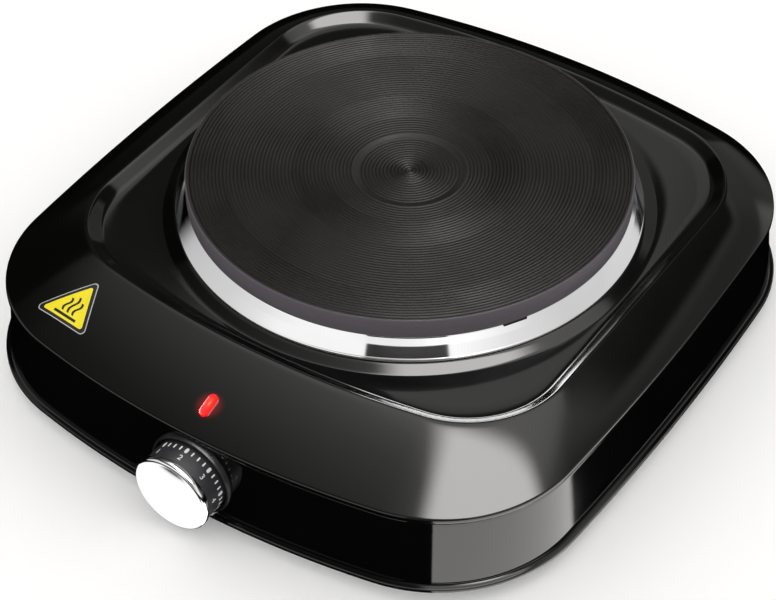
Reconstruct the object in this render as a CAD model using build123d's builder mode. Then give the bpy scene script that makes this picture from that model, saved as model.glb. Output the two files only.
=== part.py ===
from build123d import *
import os
from math import atan2, cos, degrees, hypot, pi, radians, sin, sqrt

# Single cast-iron hot plate. Origin: middle of the footprint, on the table.
# X runs to the right, -Y to the knob side, +Z up. Millimetres.

# ---------------------------------------------------------------- driving sizes
plate_radius = 92.5
plate_top = 70.8
plate_wall = 9.3
plate_centre_y = 10.0
groove_pitch = 1.5
groove_depth = 0.45
dish_depth = 1.3
centre_disc_radius = 24.0
centre_disc_depth = 0.9
centre_disc_slope = 2.8

foot_height = 6.0
sheet = 1.0
edge_z = 43.0
edge_flange = 2.2
crest_z = 54.5
floor_z = 51.4
seat_z = 53.3
seat_foot_radius = 102.7
seat_top_radius = 97.8
hole_radius = 88.0

wall_foot_reach = 1.4
wall_top_setback = 1.5
seat_setback = 3.0
lip_reach = 3.7
lip_height = 2.0
overall_end_y = 157.0

knob_z = 22.0
knob_radius = 16.4
cap_radius = 17.1
bezel_radius = 18.5
bezel_length = 4.3

post_x = 88.0
post_front_y = -80.0
post_rear_y = 98.0
post_radius = 4.5
screw_radius = 1.9

lead_radius = 1.3
lamp_lead_radius = 0.9

# The cover's edge and the recess crest: end arcs, side arcs and corner arcs.
cover_edge = {"half_width": 132.5, "half_depth": 142.0, "centre_y": 0.0,
              "corner": 61.4, "end_bow": 21.4, "side_bow": 7.8}
crest = {"half_width": 110.75, "half_depth": 111.1, "centre_y": 10.1,
         "corner": 44.8, "end_bow": 15.5, "side_bow": 0.4}
bevel_width = 6.0

lip_bottom = foot_height
lip_top = lip_bottom + lip_height
skirt_top = edge_z - edge_flange - 0.8
wall_front_y = -(cover_edge["half_depth"] - seat_setback)
wall_rear_y = -wall_front_y
pan_top = lip_bottom + 1.0 + sheet
plate_under = plate_top - plate_wall
knob_face_y = -overall_end_y

os.makedirs("parts", exist_ok=True)


def save(node, name):
    """Label a finished piece and write it as its own STEP file."""
    node.part.label = name
    export_step(node.part, f"parts/{name}.step")


# ---------------------------------------------------------------- outlines
def outline_points(form, inset):
    """First-quadrant points of an outline, moved inwards by inset."""
    width = form["half_width"]
    depth = form["half_depth"]
    corner = form["corner"]
    end_radius = (width ** 2 + form["end_bow"] ** 2) / (2 * form["end_bow"])
    side_radius = (depth ** 2 + form["side_bow"] ** 2) / (2 * form["side_bow"])
    end_y = depth - end_radius
    side_x = width - side_radius
    # The corner arc's centre lies on a circle about each large arc's centre.
    from_end = end_radius - corner
    from_side = side_radius - corner
    span = hypot(side_x, end_y)
    along = (from_end ** 2 - from_side ** 2 + span ** 2) / (2 * span)
    across = sqrt(from_end ** 2 - along ** 2)
    unit_x = side_x / span
    unit_y = -end_y / span
    corner_x = along * unit_x + across * unit_y
    corner_y = end_y + along * unit_y - across * unit_x
    if corner_x < 0:
        corner_x = along * unit_x - across * unit_y
        corner_y = end_y + along * unit_y + across * unit_x
    end_angle = atan2(corner_y - end_y, corner_x)
    side_angle = atan2(corner_y, corner_x - side_x)
    middle = (end_angle + side_angle) / 2
    radius = corner - inset
    end_point = (corner_x + radius * cos(end_angle), corner_y + radius * sin(end_angle))
    middle_point = (corner_x + radius * cos(middle), corner_y + radius * sin(middle))
    side_point = (corner_x + radius * cos(side_angle), corner_y + radius * sin(side_angle))
    return end_point, middle_point, side_point


def outline(form, inset=0.0):
    """Flat face inside a closed outline of eight arcs."""
    end_point, middle_point, side_point = outline_points(form, inset)
    tip_y = form["half_depth"] - inset
    tip_x = form["half_width"] - inset
    shift = form["centre_y"]

    def place(point, flip_x, flip_y):
        return (flip_x * point[0], shift + flip_y * point[1])

    with BuildSketch() as shape:
        with BuildLine():
            ThreePointArc(place(end_point, -1, -1), (0, shift - tip_y), place(end_point, 1, -1))
            ThreePointArc(place(end_point, 1, -1), place(middle_point, 1, -1), place(side_point, 1, -1))
            ThreePointArc(place(side_point, 1, -1), (tip_x, shift), place(side_point, 1, 1))
            ThreePointArc(place(side_point, 1, 1), place(middle_point, 1, 1), place(end_point, 1, 1))
            ThreePointArc(place(end_point, 1, 1), (0, shift + tip_y), place(end_point, -1, 1))
            ThreePointArc(place(end_point, -1, 1), place(middle_point, -1, 1), place(side_point, -1, 1))
            ThreePointArc(place(side_point, -1, 1), (-tip_x, shift), place(side_point, -1, -1))
            ThreePointArc(place(side_point, -1, -1), place(middle_point, -1, -1), place(end_point, -1, -1))
        make_face()
    return shape.sketch


def between(first, second, share):
    """Outline form that lies a share of the way from first to second."""
    return {key: first[key] + share * (second[key] - first[key]) for key in first}


def apron_height(share):
    """Height of the apron: it leaves the crest gently and steepens to the edge."""
    gentle = 0.45
    fall = (1 - gentle) * share + gentle * share ** 2
    return crest_z - (crest_z - edge_z) * fall


# ---------------------------------------------------------------- top cover
def cover_form(inset, drop, recess_grow):
    """Solid form of the cover, from its down-turned edge up, moved in and down."""
    with BuildPart() as form:
        with BuildSketch(Plane.XY.offset(edge_z - edge_flange - 2 * drop)):
            add(outline(cover_edge, inset))
        extrude(amount=edge_flange + drop)
        with BuildSketch(Plane.XY.offset(edge_z - drop)):
            add(outline(cover_edge, inset))
        with BuildSketch(Plane.XY.offset(apron_height(0.5) - drop)):
            add(outline(between(crest, cover_edge, 0.5), inset))
        with BuildSketch(Plane.XY.offset(crest_z - drop)):
            add(outline(crest, inset))
        loft()
        with BuildSketch(Plane.XY.offset(floor_z - drop)):
            add(outline(crest, bevel_width - recess_grow))
        with BuildSketch(Plane.XY.offset(crest_z + 0.01 - drop)):
            add(outline(crest, inset + 0.15 - recess_grow))
        loft(mode=Mode.SUBTRACT)
        with BuildSketch(Plane.XZ.offset(-plate_centre_y)):
            with BuildLine():
                Polyline((0, floor_z - 3 - drop), (seat_foot_radius, floor_z - 3 - drop),
                         (seat_foot_radius, floor_z - drop), (seat_top_radius, seat_z - drop),
                         (0, seat_z - drop), close=True)
            make_face()
        revolve(axis=Axis((0, plate_centre_y, 0), (0, 0, 1)))
    return form.part


lamp_y = -128.5
lamp_length = 9.5
lamp_width = 4.3
apron_front = cover_edge["half_depth"] - (crest["half_depth"] - crest["centre_y"])
lamp_share = 1 - (cover_edge["half_depth"] + lamp_y) / apron_front
lamp_z = apron_height(lamp_share)
lamp_tilt = atan2(apron_height(lamp_share - 0.05) - apron_height(lamp_share + 0.05), 0.1 * apron_front)
lamp_plane = Plane(origin=(0, lamp_y, lamp_z), x_dir=(1, 0, 0), z_dir=(0, -sin(lamp_tilt), cos(lamp_tilt)))

with BuildPart() as top_cover:
    add(cover_form(0.0, 0.0, 0.0))
    add(cover_form(sheet, sheet, sheet * 0.9), mode=Mode.SUBTRACT)
    with Locations((0, plate_centre_y, crest_z)):
        Hole(hole_radius, depth=12)
    with BuildSketch(lamp_plane.offset(-8)):
        SlotOverall(lamp_length + 0.3, lamp_width + 0.3, rotation=90)
    extrude(amount=12, mode=Mode.SUBTRACT)
save(top_cover, "top_cover")

post_places = [(-post_x, post_front_y), (post_x, post_front_y), (-post_x, post_rear_y), (post_x, post_rear_y)]

with BuildPart() as cover_posts:
    with BuildSketch(Plane.XY.offset(pan_top)):
        with Locations(post_places):
            Circle(post_radius)
            Circle(screw_radius + 0.1, mode=Mode.SUBTRACT)
    extrude(amount=floor_z - sheet - pan_top)
save(cover_posts, "cover_posts")

# ---------------------------------------------------------------- side band
gland_z = 19.0
gland_hole_radius = 6.2
gland_flange_radius = 9.0
bush_hole_radius = 5.3
flange_reach = 6.5
wall_height = skirt_top - lip_top
wall_draft = degrees(atan2(wall_foot_reach + wall_top_setback, wall_height))
seat_depth = 8.0
seat_clearance = 0.1
bezel_seat_radius = bezel_radius + seat_clearance
gland_seat_radius = gland_flange_radius + 0.6

with BuildPart() as pressed_seats:
    # Round flats pressed into the sloping wall, kept inside its outer face.
    with BuildSketch(Plane.XZ.offset(-wall_front_y - sheet)):
        with Locations((0, knob_z)):
            Circle(bezel_seat_radius + sheet)
    extrude(amount=seat_depth)
    with BuildSketch(Plane.XZ.offset(-wall_rear_y + sheet)):
        with Locations((0, gland_z)):
            Circle(gland_seat_radius + sheet)
    extrude(amount=-seat_depth)
    with BuildSketch(Plane.XY.offset(lip_top)):
        add(outline(cover_edge, -wall_foot_reach))
    extrude(amount=wall_height, taper=wall_draft, mode=Mode.INTERSECT)

with BuildPart() as side_band:
    # Wall leaning in towards the cover, with an in-turned flange at its top.
    with BuildSketch(Plane.XY.offset(lip_top)):
        add(outline(cover_edge, -wall_foot_reach))
    extrude(amount=wall_height, taper=wall_draft)
    with BuildSketch(Plane.XY.offset(lip_top)):
        add(outline(cover_edge, sheet - wall_foot_reach))
    extrude(amount=wall_height - sheet, taper=wall_draft, mode=Mode.SUBTRACT)
    with BuildSketch(Plane.XY.offset(lip_top)):
        add(outline(cover_edge, wall_top_setback + flange_reach))
    extrude(amount=wall_height, mode=Mode.SUBTRACT)
    add(pressed_seats.part)
    # Narrow out-turned lip with a down-turned edge.
    with BuildSketch(Plane.XY.offset(lip_bottom)):
        add(outline(cover_edge, -lip_reach))
        add(outline(cover_edge, sheet - wall_foot_reach), mode=Mode.SUBTRACT)
    extrude(amount=lip_height)
    with BuildSketch(Plane.XY.offset(lip_bottom)):
        add(outline(cover_edge, sheet - lip_reach))
    extrude(amount=lip_height - sheet, mode=Mode.SUBTRACT)
    # Room for the knob's bezel in front of its seat, and in the lip below.
    with BuildSketch(Plane.XZ.offset(-wall_front_y)):
        with Locations((0, knob_z)):
            Circle(bezel_seat_radius)
    extrude(amount=seat_depth, mode=Mode.SUBTRACT)
    with BuildSketch(Plane.XZ.offset(-wall_rear_y)):
        with Locations((0, gland_z)):
            Circle(gland_seat_radius)
    extrude(amount=-seat_depth, mode=Mode.SUBTRACT)
    # Holes for the thermostat's bush and the cord gland.
    with BuildSketch(Plane.XZ.offset(-wall_front_y - seat_depth)):
        with Locations((0, knob_z)):
            Circle(bush_hole_radius)
    extrude(amount=2 * seat_depth, mode=Mode.SUBTRACT)
    with BuildSketch(Plane.XZ.offset(-wall_rear_y - seat_depth)):
        with Locations((0, gland_z)):
            Circle(gland_hole_radius)
    extrude(amount=2 * seat_depth, mode=Mode.SUBTRACT)
save(side_band, "side_band")

# ---------------------------------------------------------------- base pan and feet
slot_length = 34.0
slot_width = 4.0
slot_pitch = 11.0
pan_gap = 0.3
pan_setback = 0.4
rim_height = 5.0

with BuildPart() as base_pan:
    with BuildSketch(Plane.XY.offset(pan_top - sheet)):
        add(outline(cover_edge, pan_setback))
    extrude(amount=sheet + rim_height)
    with BuildSketch(Plane.XY.offset(pan_top)):
        add(outline(cover_edge, pan_setback + sheet))
    extrude(amount=rim_height, mode=Mode.SUBTRACT)
    with BuildSketch(Plane.XY.offset(pan_top - sheet)):
        with Locations((0, plate_centre_y + 34), (0, plate_centre_y - 34)):
            with GridLocations(slot_pitch, 0, 9, 1):
                SlotOverall(slot_length, slot_width, rotation=90)
        with Locations(post_places):
            Circle(screw_radius + 0.3)
    extrude(amount=sheet, mode=Mode.SUBTRACT)
    # The rim and edge give way to the two seats pressed into the wall.
    with BuildSketch(Plane.XZ.offset(-wall_front_y - sheet - pan_gap)):
        with Locations((0, knob_z)):
            Circle(bezel_seat_radius + sheet + pan_gap)
    extrude(amount=seat_depth, mode=Mode.SUBTRACT)
    with BuildSketch(Plane.XZ.offset(-wall_rear_y + sheet + pan_gap)):
        with Locations((0, gland_z)):
            Circle(gland_seat_radius + sheet + pan_gap)
    extrude(amount=-seat_depth, mode=Mode.SUBTRACT)
save(base_pan, "base_pan")

foot_names = ["foot_front_left", "foot_front_right", "foot_rear_left", "foot_rear_right"]
foot_radius = 10.0
foot_top = pan_top - sheet
head_radius = 3.8
head_floor = 3.0

for foot_name, (foot_x, foot_y) in zip(foot_names, post_places):
    with BuildPart() as foot:
        with Locations((foot_x, foot_y, 0)):
            Cylinder(foot_radius, foot_top, align=(Align.CENTER, Align.CENTER, Align.MIN))
        chamfer(foot.edges().group_by(Axis.Z)[0], 0.8)
        with Locations((foot_x, foot_y, head_floor)):
            Cylinder(head_radius + 0.4, head_floor,
                     align=(Align.CENTER, Align.CENTER, Align.MAX), mode=Mode.SUBTRACT)
            Cylinder(screw_radius + 0.2, foot_top,
                     align=(Align.CENTER, Align.CENTER, Align.MIN), mode=Mode.SUBTRACT)
    save(foot, foot_name)

with BuildPart() as foot_screws:
    with BuildSketch(Plane.XY.offset(head_floor)):
        with Locations(post_places):
            Circle(head_radius)
    extrude(amount=-2.2)
    with BuildSketch(Plane.XY.offset(head_floor)):
        with Locations(post_places):
            Circle(screw_radius)
    extrude(amount=16)
    with BuildSketch(Plane.XY.offset(head_floor - 2.2)):
        with Locations(post_places):
            Rectangle(5.0, 0.9)
            Rectangle(0.9, 5.0)
    extrude(amount=1.2, mode=Mode.SUBTRACT)
save(foot_screws, "foot_screws")

# ---------------------------------------------------------------- cast iron plate
plate_axis = Axis((0, plate_centre_y, 0), (0, 0, 1))
body_radius = 78.0
shoulder_radius = 86.5
shoulder_bottom = plate_under - 3.5
body_bottom = 50.0
land_width = 2.0
channel_depth = 12.5
channels = {"inner": (31.0, 47.0), "outer": (55.0, 71.0)}


def plate_section_plane():
    """Upright plane through the plate's axis."""
    return Plane(origin=(0, plate_centre_y, 0), x_dir=(1, 0, 0), z_dir=(0, -1, 0))


def grooved_face():
    """Points of the plate's top from its centre out: fine V grooves on a shallow dish."""
    height = plate_top - dish_depth - centre_disc_depth
    points = [(0.0, height)]
    disc_floor_radius = centre_disc_radius - centre_disc_slope
    inner_pitch = groove_pitch * 0.85
    radius = inner_pitch
    while radius < disc_floor_radius - inner_pitch * 0.5:
        points.append((radius - inner_pitch * 0.35, height))
        points.append((radius, height - groove_depth * 0.7))
        points.append((radius + inner_pitch * 0.35, height))
        radius += inner_pitch
    points.append((disc_floor_radius, height))
    points.append((centre_disc_radius, plate_top - dish_depth))
    radius = centre_disc_radius + groove_pitch * 1.4
    rim = plate_radius - land_width
    while radius < rim - groove_pitch * 0.4:
        share = (radius - centre_disc_radius) / (rim - centre_disc_radius)
        height = plate_top - dish_depth * (1 - share)
        points.append((radius - groove_pitch * 0.38, height))
        points.append((radius, height - groove_depth))
        points.append((radius + groove_pitch * 0.38, height))
        radius += groove_pitch
    points.append((rim, plate_top))
    return points


with BuildPart() as cast_iron_plate:
    with BuildSketch(plate_section_plane()):
        with BuildLine():
            top_points = grooved_face()
            Polyline(*top_points, (plate_radius - 0.7, plate_top), (plate_radius, plate_top - 0.7),
                     (plate_radius, plate_under + 0.4), (plate_radius - 0.4, plate_under),
                     (shoulder_radius, plate_under), (shoulder_radius, shoulder_bottom),
                     (body_radius, shoulder_bottom - 2), (body_radius, body_bottom),
                     (0, body_bottom), close=True)
        make_face()
    revolve(axis=plate_axis)
    for inner_radius, outer_radius in channels.values():
        with BuildSketch(Plane.XY.offset(body_bottom)):
            with Locations((0, plate_centre_y)):
                Circle(outer_radius)
                Circle(inner_radius, mode=Mode.SUBTRACT)
        extrude(amount=channel_depth, mode=Mode.SUBTRACT)
    # Locating lug under the rim, towards the front right.
    lug_plane = Plane(origin=(91.9 * cos(radians(-30)), plate_centre_y + 91.9 * sin(radians(-30)), plate_under),
                      x_dir=(sin(radians(30)), cos(radians(30)), 0), z_dir=(0, 0, 1))
    with BuildSketch(lug_plane):
        Rectangle(10, 0.9)
    extrude(amount=-0.9)
save(cast_iron_plate, "cast_iron_plate")

coil_radius = 2.4
coil_height = body_bottom + channel_depth / 2
coil_rings = {"inner": 39.0, "outer": 63.0}

for coil_name, ring_radius in coil_rings.items():
    with BuildPart() as coil:
        with Locations((0, plate_centre_y, coil_height)):
            Torus(ring_radius, coil_radius)
    save(coil, f"heating_coil_{coil_name}")

with BuildPart() as insulation_compound:
    for coil_name, (inner_radius, outer_radius) in channels.items():
        with BuildSketch(Plane.XY.offset(body_bottom)):
            with Locations((0, plate_centre_y)):
                Circle(outer_radius)
                Circle(inner_radius, mode=Mode.SUBTRACT)
        extrude(amount=channel_depth)
        with Locations((0, plate_centre_y, coil_height)):
            Torus(coil_rings[coil_name], coil_radius, mode=Mode.SUBTRACT)
save(insulation_compound, "insulation_compound")

cover_disc_top = body_bottom
stud_radius = 3.0
stud_bottom = 29.0

with BuildPart() as underside_cover:
    with BuildSketch(plate_section_plane()):
        with BuildLine():
            Polyline((stud_radius + 0.4, cover_disc_top), (body_radius - 2, cover_disc_top),
                     (body_radius - 2, cover_disc_top - 3), (body_radius - 2.8, cover_disc_top - 3),
                     (body_radius - 2.8, cover_disc_top - 0.8), (stud_radius + 0.4, cover_disc_top - 0.8),
                     close=True)
        make_face()
    revolve(axis=plate_axis)
save(underside_cover, "underside_cover")

# ---------------------------------------------------------------- trim ring and gasket
rim_radius = 97.5
rim_thick = 1.1
ring_sheet = 0.6
cone_top_radius = 91.0
cone_top_z = plate_under - 0.5
gasket_thick = 0.3

with BuildPart() as trim_ring:
    with BuildSketch(plate_section_plane()):
        with BuildLine():
            Polyline((rim_radius, seat_z + gasket_thick), (rim_radius, seat_z + gasket_thick + 1.3),
                     (rim_radius - rim_thick, seat_z + gasket_thick + 1.3),
                     (cone_top_radius, cone_top_z), (89.8, plate_under),
                     (shoulder_radius + 0.5, plate_under), (shoulder_radius + 0.5, seat_z - 0.6),
                     (shoulder_radius + 0.5 + ring_sheet, seat_z - 0.6),
                     (shoulder_radius + 0.5 + ring_sheet, plate_under - ring_sheet),
                     (89.5, plate_under - ring_sheet), (cone_top_radius - 0.3, cone_top_z - ring_sheet),
                     (rim_radius - rim_thick - 0.3, seat_z + gasket_thick + 0.6),
                     (rim_radius - rim_thick - 0.3, seat_z + gasket_thick), close=True)
        make_face()
    revolve(axis=plate_axis)
save(trim_ring, "trim_ring")

with BuildPart() as seat_gasket:
    with BuildSketch(Plane.XY.offset(seat_z)):
        with Locations((0, plate_centre_y)):
            Circle(rim_radius - 0.3)
            Circle(hole_radius + 1.5, mode=Mode.SUBTRACT)
    extrude(amount=gasket_thick)
save(seat_gasket, "seat_gasket")

# ---------------------------------------------------------------- clamp under the plate
clamp_width = 20.0
clamp_thick = 2.0
clamp_low = 38.0
clamp_high = seat_z - sheet
clamp_end = 94.0
clamp_leg = 84.0

with BuildPart() as clamp_bar:
    with BuildSketch(Plane.XZ.offset(-plate_centre_y - clamp_width / 2)):
        with BuildLine():
            Polyline((-clamp_end, clamp_high), (-clamp_leg + clamp_thick, clamp_high),
                     (-clamp_leg + clamp_thick, clamp_low + clamp_thick),
                     (clamp_leg - clamp_thick, clamp_low + clamp_thick),
                     (clamp_leg - clamp_thick, clamp_high), (clamp_end, clamp_high),
                     (clamp_end, clamp_high - clamp_thick), (clamp_leg, clamp_high - clamp_thick),
                     (clamp_leg, clamp_low), (-clamp_leg, clamp_low),
                     (-clamp_leg, clamp_high - clamp_thick), (-clamp_end, clamp_high - clamp_thick),
                     close=True)
        make_face()
    extrude(amount=clamp_width)
    with Locations((0, plate_centre_y, clamp_low + clamp_thick)):
        Hole(stud_radius + 0.3, depth=clamp_thick)
save(clamp_bar, "clamp_bar")

with BuildPart() as plate_stud:
    with BuildSketch(Plane.XY.offset(stud_bottom)):
        with Locations((0, plate_centre_y)):
            Circle(stud_radius)
    extrude(amount=body_bottom - stud_bottom)
    chamfer(plate_stud.edges().group_by(Axis.Z)[0], 0.5)
save(plate_stud, "plate_stud")

with BuildPart() as stud_washer:
    with BuildSketch(Plane.XY.offset(clamp_low - 1.5)):
        with Locations((0, plate_centre_y)):
            Circle(8)
            Circle(stud_radius + 0.2, mode=Mode.SUBTRACT)
    extrude(amount=1.5)
save(stud_washer, "stud_washer")

with BuildPart() as stud_nut:
    with BuildSketch(Plane.XY.offset(clamp_low - 6.5)):
        with Locations((0, plate_centre_y)):
            RegularPolygon(5.0, 6, major_radius=False)
            Circle(stud_radius + 0.02, mode=Mode.SUBTRACT)
    extrude(amount=5)
save(stud_nut, "stud_nut")

# ---------------------------------------------------------------- plate terminals, cut-out, shield
bead_y = -40.0
bead_top = cover_disc_top - 0.8
bead_height = 8.0
tab_x = 7.0

with BuildPart() as terminal_bead:
    with BuildSketch(Plane.XY.offset(bead_top)):
        with Locations((0, bead_y)):
            RectangleRounded(30, 14, 3)
    extrude(amount=-bead_height)
    with BuildSketch(Plane.XY.offset(bead_top)):
        with Locations((-tab_x, bead_y), (tab_x, bead_y)):
            Rectangle(1.2, 6.7)
    extrude(amount=-bead_height, mode=Mode.SUBTRACT)
save(terminal_bead, "terminal_bead")

with BuildPart() as plate_terminals:
    with BuildSketch(Plane.XY.offset(bead_top)):
        with Locations((-tab_x, bead_y), (tab_x, bead_y)):
            Rectangle(0.8, 6.3)
    extrude(amount=-bead_height - 9)
save(plate_terminals, "plate_terminals")

with BuildPart() as thermal_cutout:
    with BuildSketch(Plane.XY.offset(bead_top)):
        with Locations((38, -14)):
            Circle(7.5)
    extrude(amount=-5)
    with BuildSketch(Plane.XY.offset(bead_top - 5)):
        with Locations((38, -14)):
            Circle(5.5)
    extrude(amount=-3)
    with BuildSketch(Plane.XY.offset(bead_top - 5)):
        with Locations((38, -14)):
            Rectangle(24, 5)
    extrude(amount=0.8)
save(thermal_cutout, "thermal_cutout")

shield_radius = 80.0
shield_rise = 7.0
shield_sheet = 0.6

with BuildPart() as heat_shield:
    with BuildSketch(plate_section_plane()):
        with BuildLine():
            Polyline((0, pan_top + shield_rise), (64, pan_top + shield_rise), (70, pan_top + shield_sheet),
                     (shield_radius, pan_top + shield_sheet), (shield_radius, pan_top), (69.5, pan_top),
                     (63.5, pan_top + shield_rise - shield_sheet), (0, pan_top + shield_rise - shield_sheet),
                     close=True)
        make_face()
    revolve(axis=plate_axis)
save(heat_shield, "heat_shield")

# ---------------------------------------------------------------- thermostat
bracket_face_y = wall_front_y + 2.6
bracket_sheet = 1.2
bracket_rear_y = -97.0
bracket_floor = pan_top + 0.2
bracket_half = 12.0
spindle_radius = 3.0
spindle_end_y = -128.0
leaf_half = 3.0
leaf_sheet = 0.4
leaf_y = -120.0
pin_slack = 0.15
fixed_leaf_y = -116.2
bimetal_y = -110.0
pivot_z = 15.0
leaf_top = 31.0
bush_front_y = wall_front_y - 3.6
nut_back_y = wall_front_y - 1.1


def axle(radius, y_front, y_back, inner=0.0, height=knob_z):
    """Cylinder or tube along Y, on the knob's axis unless told otherwise."""
    with BuildPart() as barrel:
        with BuildSketch(Plane.XZ.offset(-y_back)):
            with Locations((0, height)):
                Circle(radius)
                if inner > 0:
                    Circle(inner, mode=Mode.SUBTRACT)
        extrude(amount=y_back - y_front)
    return barrel.part


with BuildPart() as thermo_bracket:
    with BuildSketch(Plane.XY.offset(bracket_floor)):
        with Locations((0, (bracket_face_y + bracket_rear_y) / 2)):
            Rectangle(2 * bracket_half, bracket_rear_y - bracket_face_y)
    extrude(amount=bracket_sheet)
    with BuildSketch(Plane.XZ.offset(-bracket_face_y - bracket_sheet)):
        with Locations((0, (bracket_floor + 32) / 2)):
            Rectangle(2 * bracket_half, 32 - bracket_floor)
        with Locations((0, knob_z)):
            Circle(5.1, mode=Mode.SUBTRACT)
    extrude(amount=bracket_sheet)
    with BuildSketch(Plane.XY.offset(bracket_floor)):
        with Locations((-8, -101), (8, -101)):
            Circle(1.7)
    extrude(amount=bracket_sheet, mode=Mode.SUBTRACT)
save(thermo_bracket, "thermo_bracket")

with BuildPart() as bracket_screws:
    with BuildSketch(Plane.XY.offset(bracket_floor + bracket_sheet)):
        with Locations((-8, -101), (8, -101)):
            Circle(3.0)
    extrude(amount=1.8)
    with BuildSketch(Plane.XY.offset(bracket_floor + bracket_sheet)):
        with Locations((-8, -101), (8, -101)):
            Circle(1.5)
    extrude(amount=-bracket_sheet - 0.15)
save(bracket_screws, "bracket_screws")

with BuildPart() as thermo_bush:
    add(axle(4.9, bush_front_y, bracket_face_y + bracket_sheet, spindle_radius + 0.05))
    add(axle(7.5, bracket_face_y + bracket_sheet, bracket_face_y + bracket_sheet + 2, spindle_radius + 0.05))
save(thermo_bush, "thermo_bush")

with BuildPart() as bush_nut:
    with BuildSketch(Plane.XZ.offset(-nut_back_y)):
        with Locations((0, knob_z)):
            RegularPolygon(6.5, 6, major_radius=False)
            Circle(4.95, mode=Mode.SUBTRACT)
    extrude(amount=2.2)
save(bush_nut, "bush_nut")

spindle_front_y = knob_face_y + 4.6
flat_height = 2.1

with BuildPart() as thermo_spindle:
    add(axle(spindle_radius, spindle_front_y, spindle_end_y))
    add(axle(4.6, -130.6, spindle_end_y))
    with BuildSketch(Plane.XZ.offset(-spindle_front_y - 8.5)):
        with Locations((0, knob_z + flat_height + 2)):
            Rectangle(8, 4)
    extrude(amount=10, mode=Mode.SUBTRACT)
save(thermo_spindle, "thermo_spindle")

with BuildPart() as push_pin:
    add(axle(1.5, spindle_end_y, leaf_y - pin_slack))
save(push_pin, "push_pin")

guide_back = 123.0
guide_thick = 2.5

with BuildPart() as pin_guide:
    with BuildSketch(Plane.XZ.offset(guide_back)):
        with Locations((0, (bracket_floor + bracket_sheet + 27) / 2)):
            Rectangle(16, 27 - bracket_floor - bracket_sheet)
        with Locations((0, knob_z)):
            Circle(1.56, mode=Mode.SUBTRACT)
    extrude(amount=guide_thick)
save(pin_guide, "pin_guide")

stack_bottom = bracket_floor + bracket_sheet
stack_top = 16.5
spacer_spans = [(-123.0, leaf_y - 0.35), (leaf_y + leaf_sheet + 0.35, fixed_leaf_y),
                (fixed_leaf_y + leaf_sheet, bimetal_y - 0.35), (bimetal_y + 1.15, -106.0)]

with BuildPart() as insulator_stack:
    for span_front, span_back in spacer_spans:
        with BuildSketch(Plane.XZ.offset(-span_back)):
            with Locations((0, (stack_bottom + stack_top) / 2)):
                Rectangle(16, stack_top - stack_bottom)
            with Locations((-5.5, 13.2), (5.5, 13.2)):
                Circle(1.15, mode=Mode.SUBTRACT)
        extrude(amount=span_back - span_front)
save(insulator_stack, "insulator_stack")

with BuildPart() as stack_rivets:
    with BuildSketch(Plane.XZ.offset(105.2)):
        with Locations((-5.5, 13.2), (5.5, 13.2)):
            Circle(1.0)
    extrude(amount=122.8 - 105.2)
    with BuildSketch(Plane.XZ.offset(105.2)):
        with Locations((-5.5, 13.2), (5.5, 13.2)):
            Circle(1.8)
    extrude(amount=0.8)
save(stack_rivets, "stack_rivets")


def strip(y_front, thickness, bottom, top, half_width):
    """Upright strip of spring sheet facing along Y."""
    with BuildPart() as blade:
        with BuildSketch(Plane.XZ.offset(-y_front - thickness)):
            with Locations((0, (bottom + top) / 2)):
                Rectangle(2 * half_width, top - bottom)
        extrude(amount=thickness)
    return blade.part


contact_z = 28.5
bead_z = 20.5
bead_radius = 1.0
bead_tip_y = -118.6
contact_radius = 2.0

with BuildPart() as contact_leaf:
    add(strip(leaf_y, leaf_sheet, pivot_z - 1, leaf_top, leaf_half))
save(contact_leaf, "contact_leaf")

with BuildPart() as moving_contact:
    add(axle(contact_radius, leaf_y + leaf_sheet, leaf_y + leaf_sheet + 1.0, height=contact_z))
save(moving_contact, "moving_contact")

with BuildPart() as fixed_leaf:
    add(strip(fixed_leaf_y, leaf_sheet, stack_bottom + 0.5, leaf_top + 0.5, leaf_half))
    with BuildSketch(Plane.XZ.offset(-fixed_leaf_y - leaf_sheet)):
        with Locations((9, 27)):
            Rectangle(14, 6.3)
    extrude(amount=leaf_sheet)
    add(axle(bead_radius + 0.6, fixed_leaf_y - 1, fixed_leaf_y + 1, height=bead_z), mode=Mode.SUBTRACT)
save(fixed_leaf, "fixed_leaf")

with BuildPart() as fixed_contact:
    add(axle(contact_radius, fixed_leaf_y - 0.9, fixed_leaf_y, height=contact_z))
save(fixed_contact, "fixed_contact")

with BuildPart() as bimetal_blade:
    add(strip(bimetal_y, 0.8, pivot_z - 1, leaf_top, leaf_half))
    add(axle(bead_radius, bead_tip_y, bimetal_y, height=bead_z))
save(bimetal_blade, "bimetal_blade")

with BuildPart() as thermo_terminal:
    with BuildSketch(Plane.XZ.offset(guide_back + guide_thick)):
        with Locations((-10, 20)):
            Rectangle(12, 6.3)
    extrude(amount=0.4)
save(thermo_terminal, "thermo_terminal")

# ---------------------------------------------------------------- knob
bezel_back_y = wall_front_y - 0.1
bezel_front_y = wall_front_y - bezel_length
knob_back_y = bezel_front_y + 2.2
knob_front_y = knob_face_y + 2.8
knob_wall = 1.6

with BuildPart() as knob_bezel:
    add(axle(bezel_radius, bezel_front_y, bezel_back_y, bezel_radius - 1.1))
    add(axle(bezel_radius - 0.2, bezel_back_y - 0.9, bezel_back_y, 5.1))
    chamfer(knob_bezel.edges().filter_by(GeomType.CIRCLE).sort_by(Axis.Y)[0:1], 0.25)
save(knob_bezel, "knob_bezel")

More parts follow.
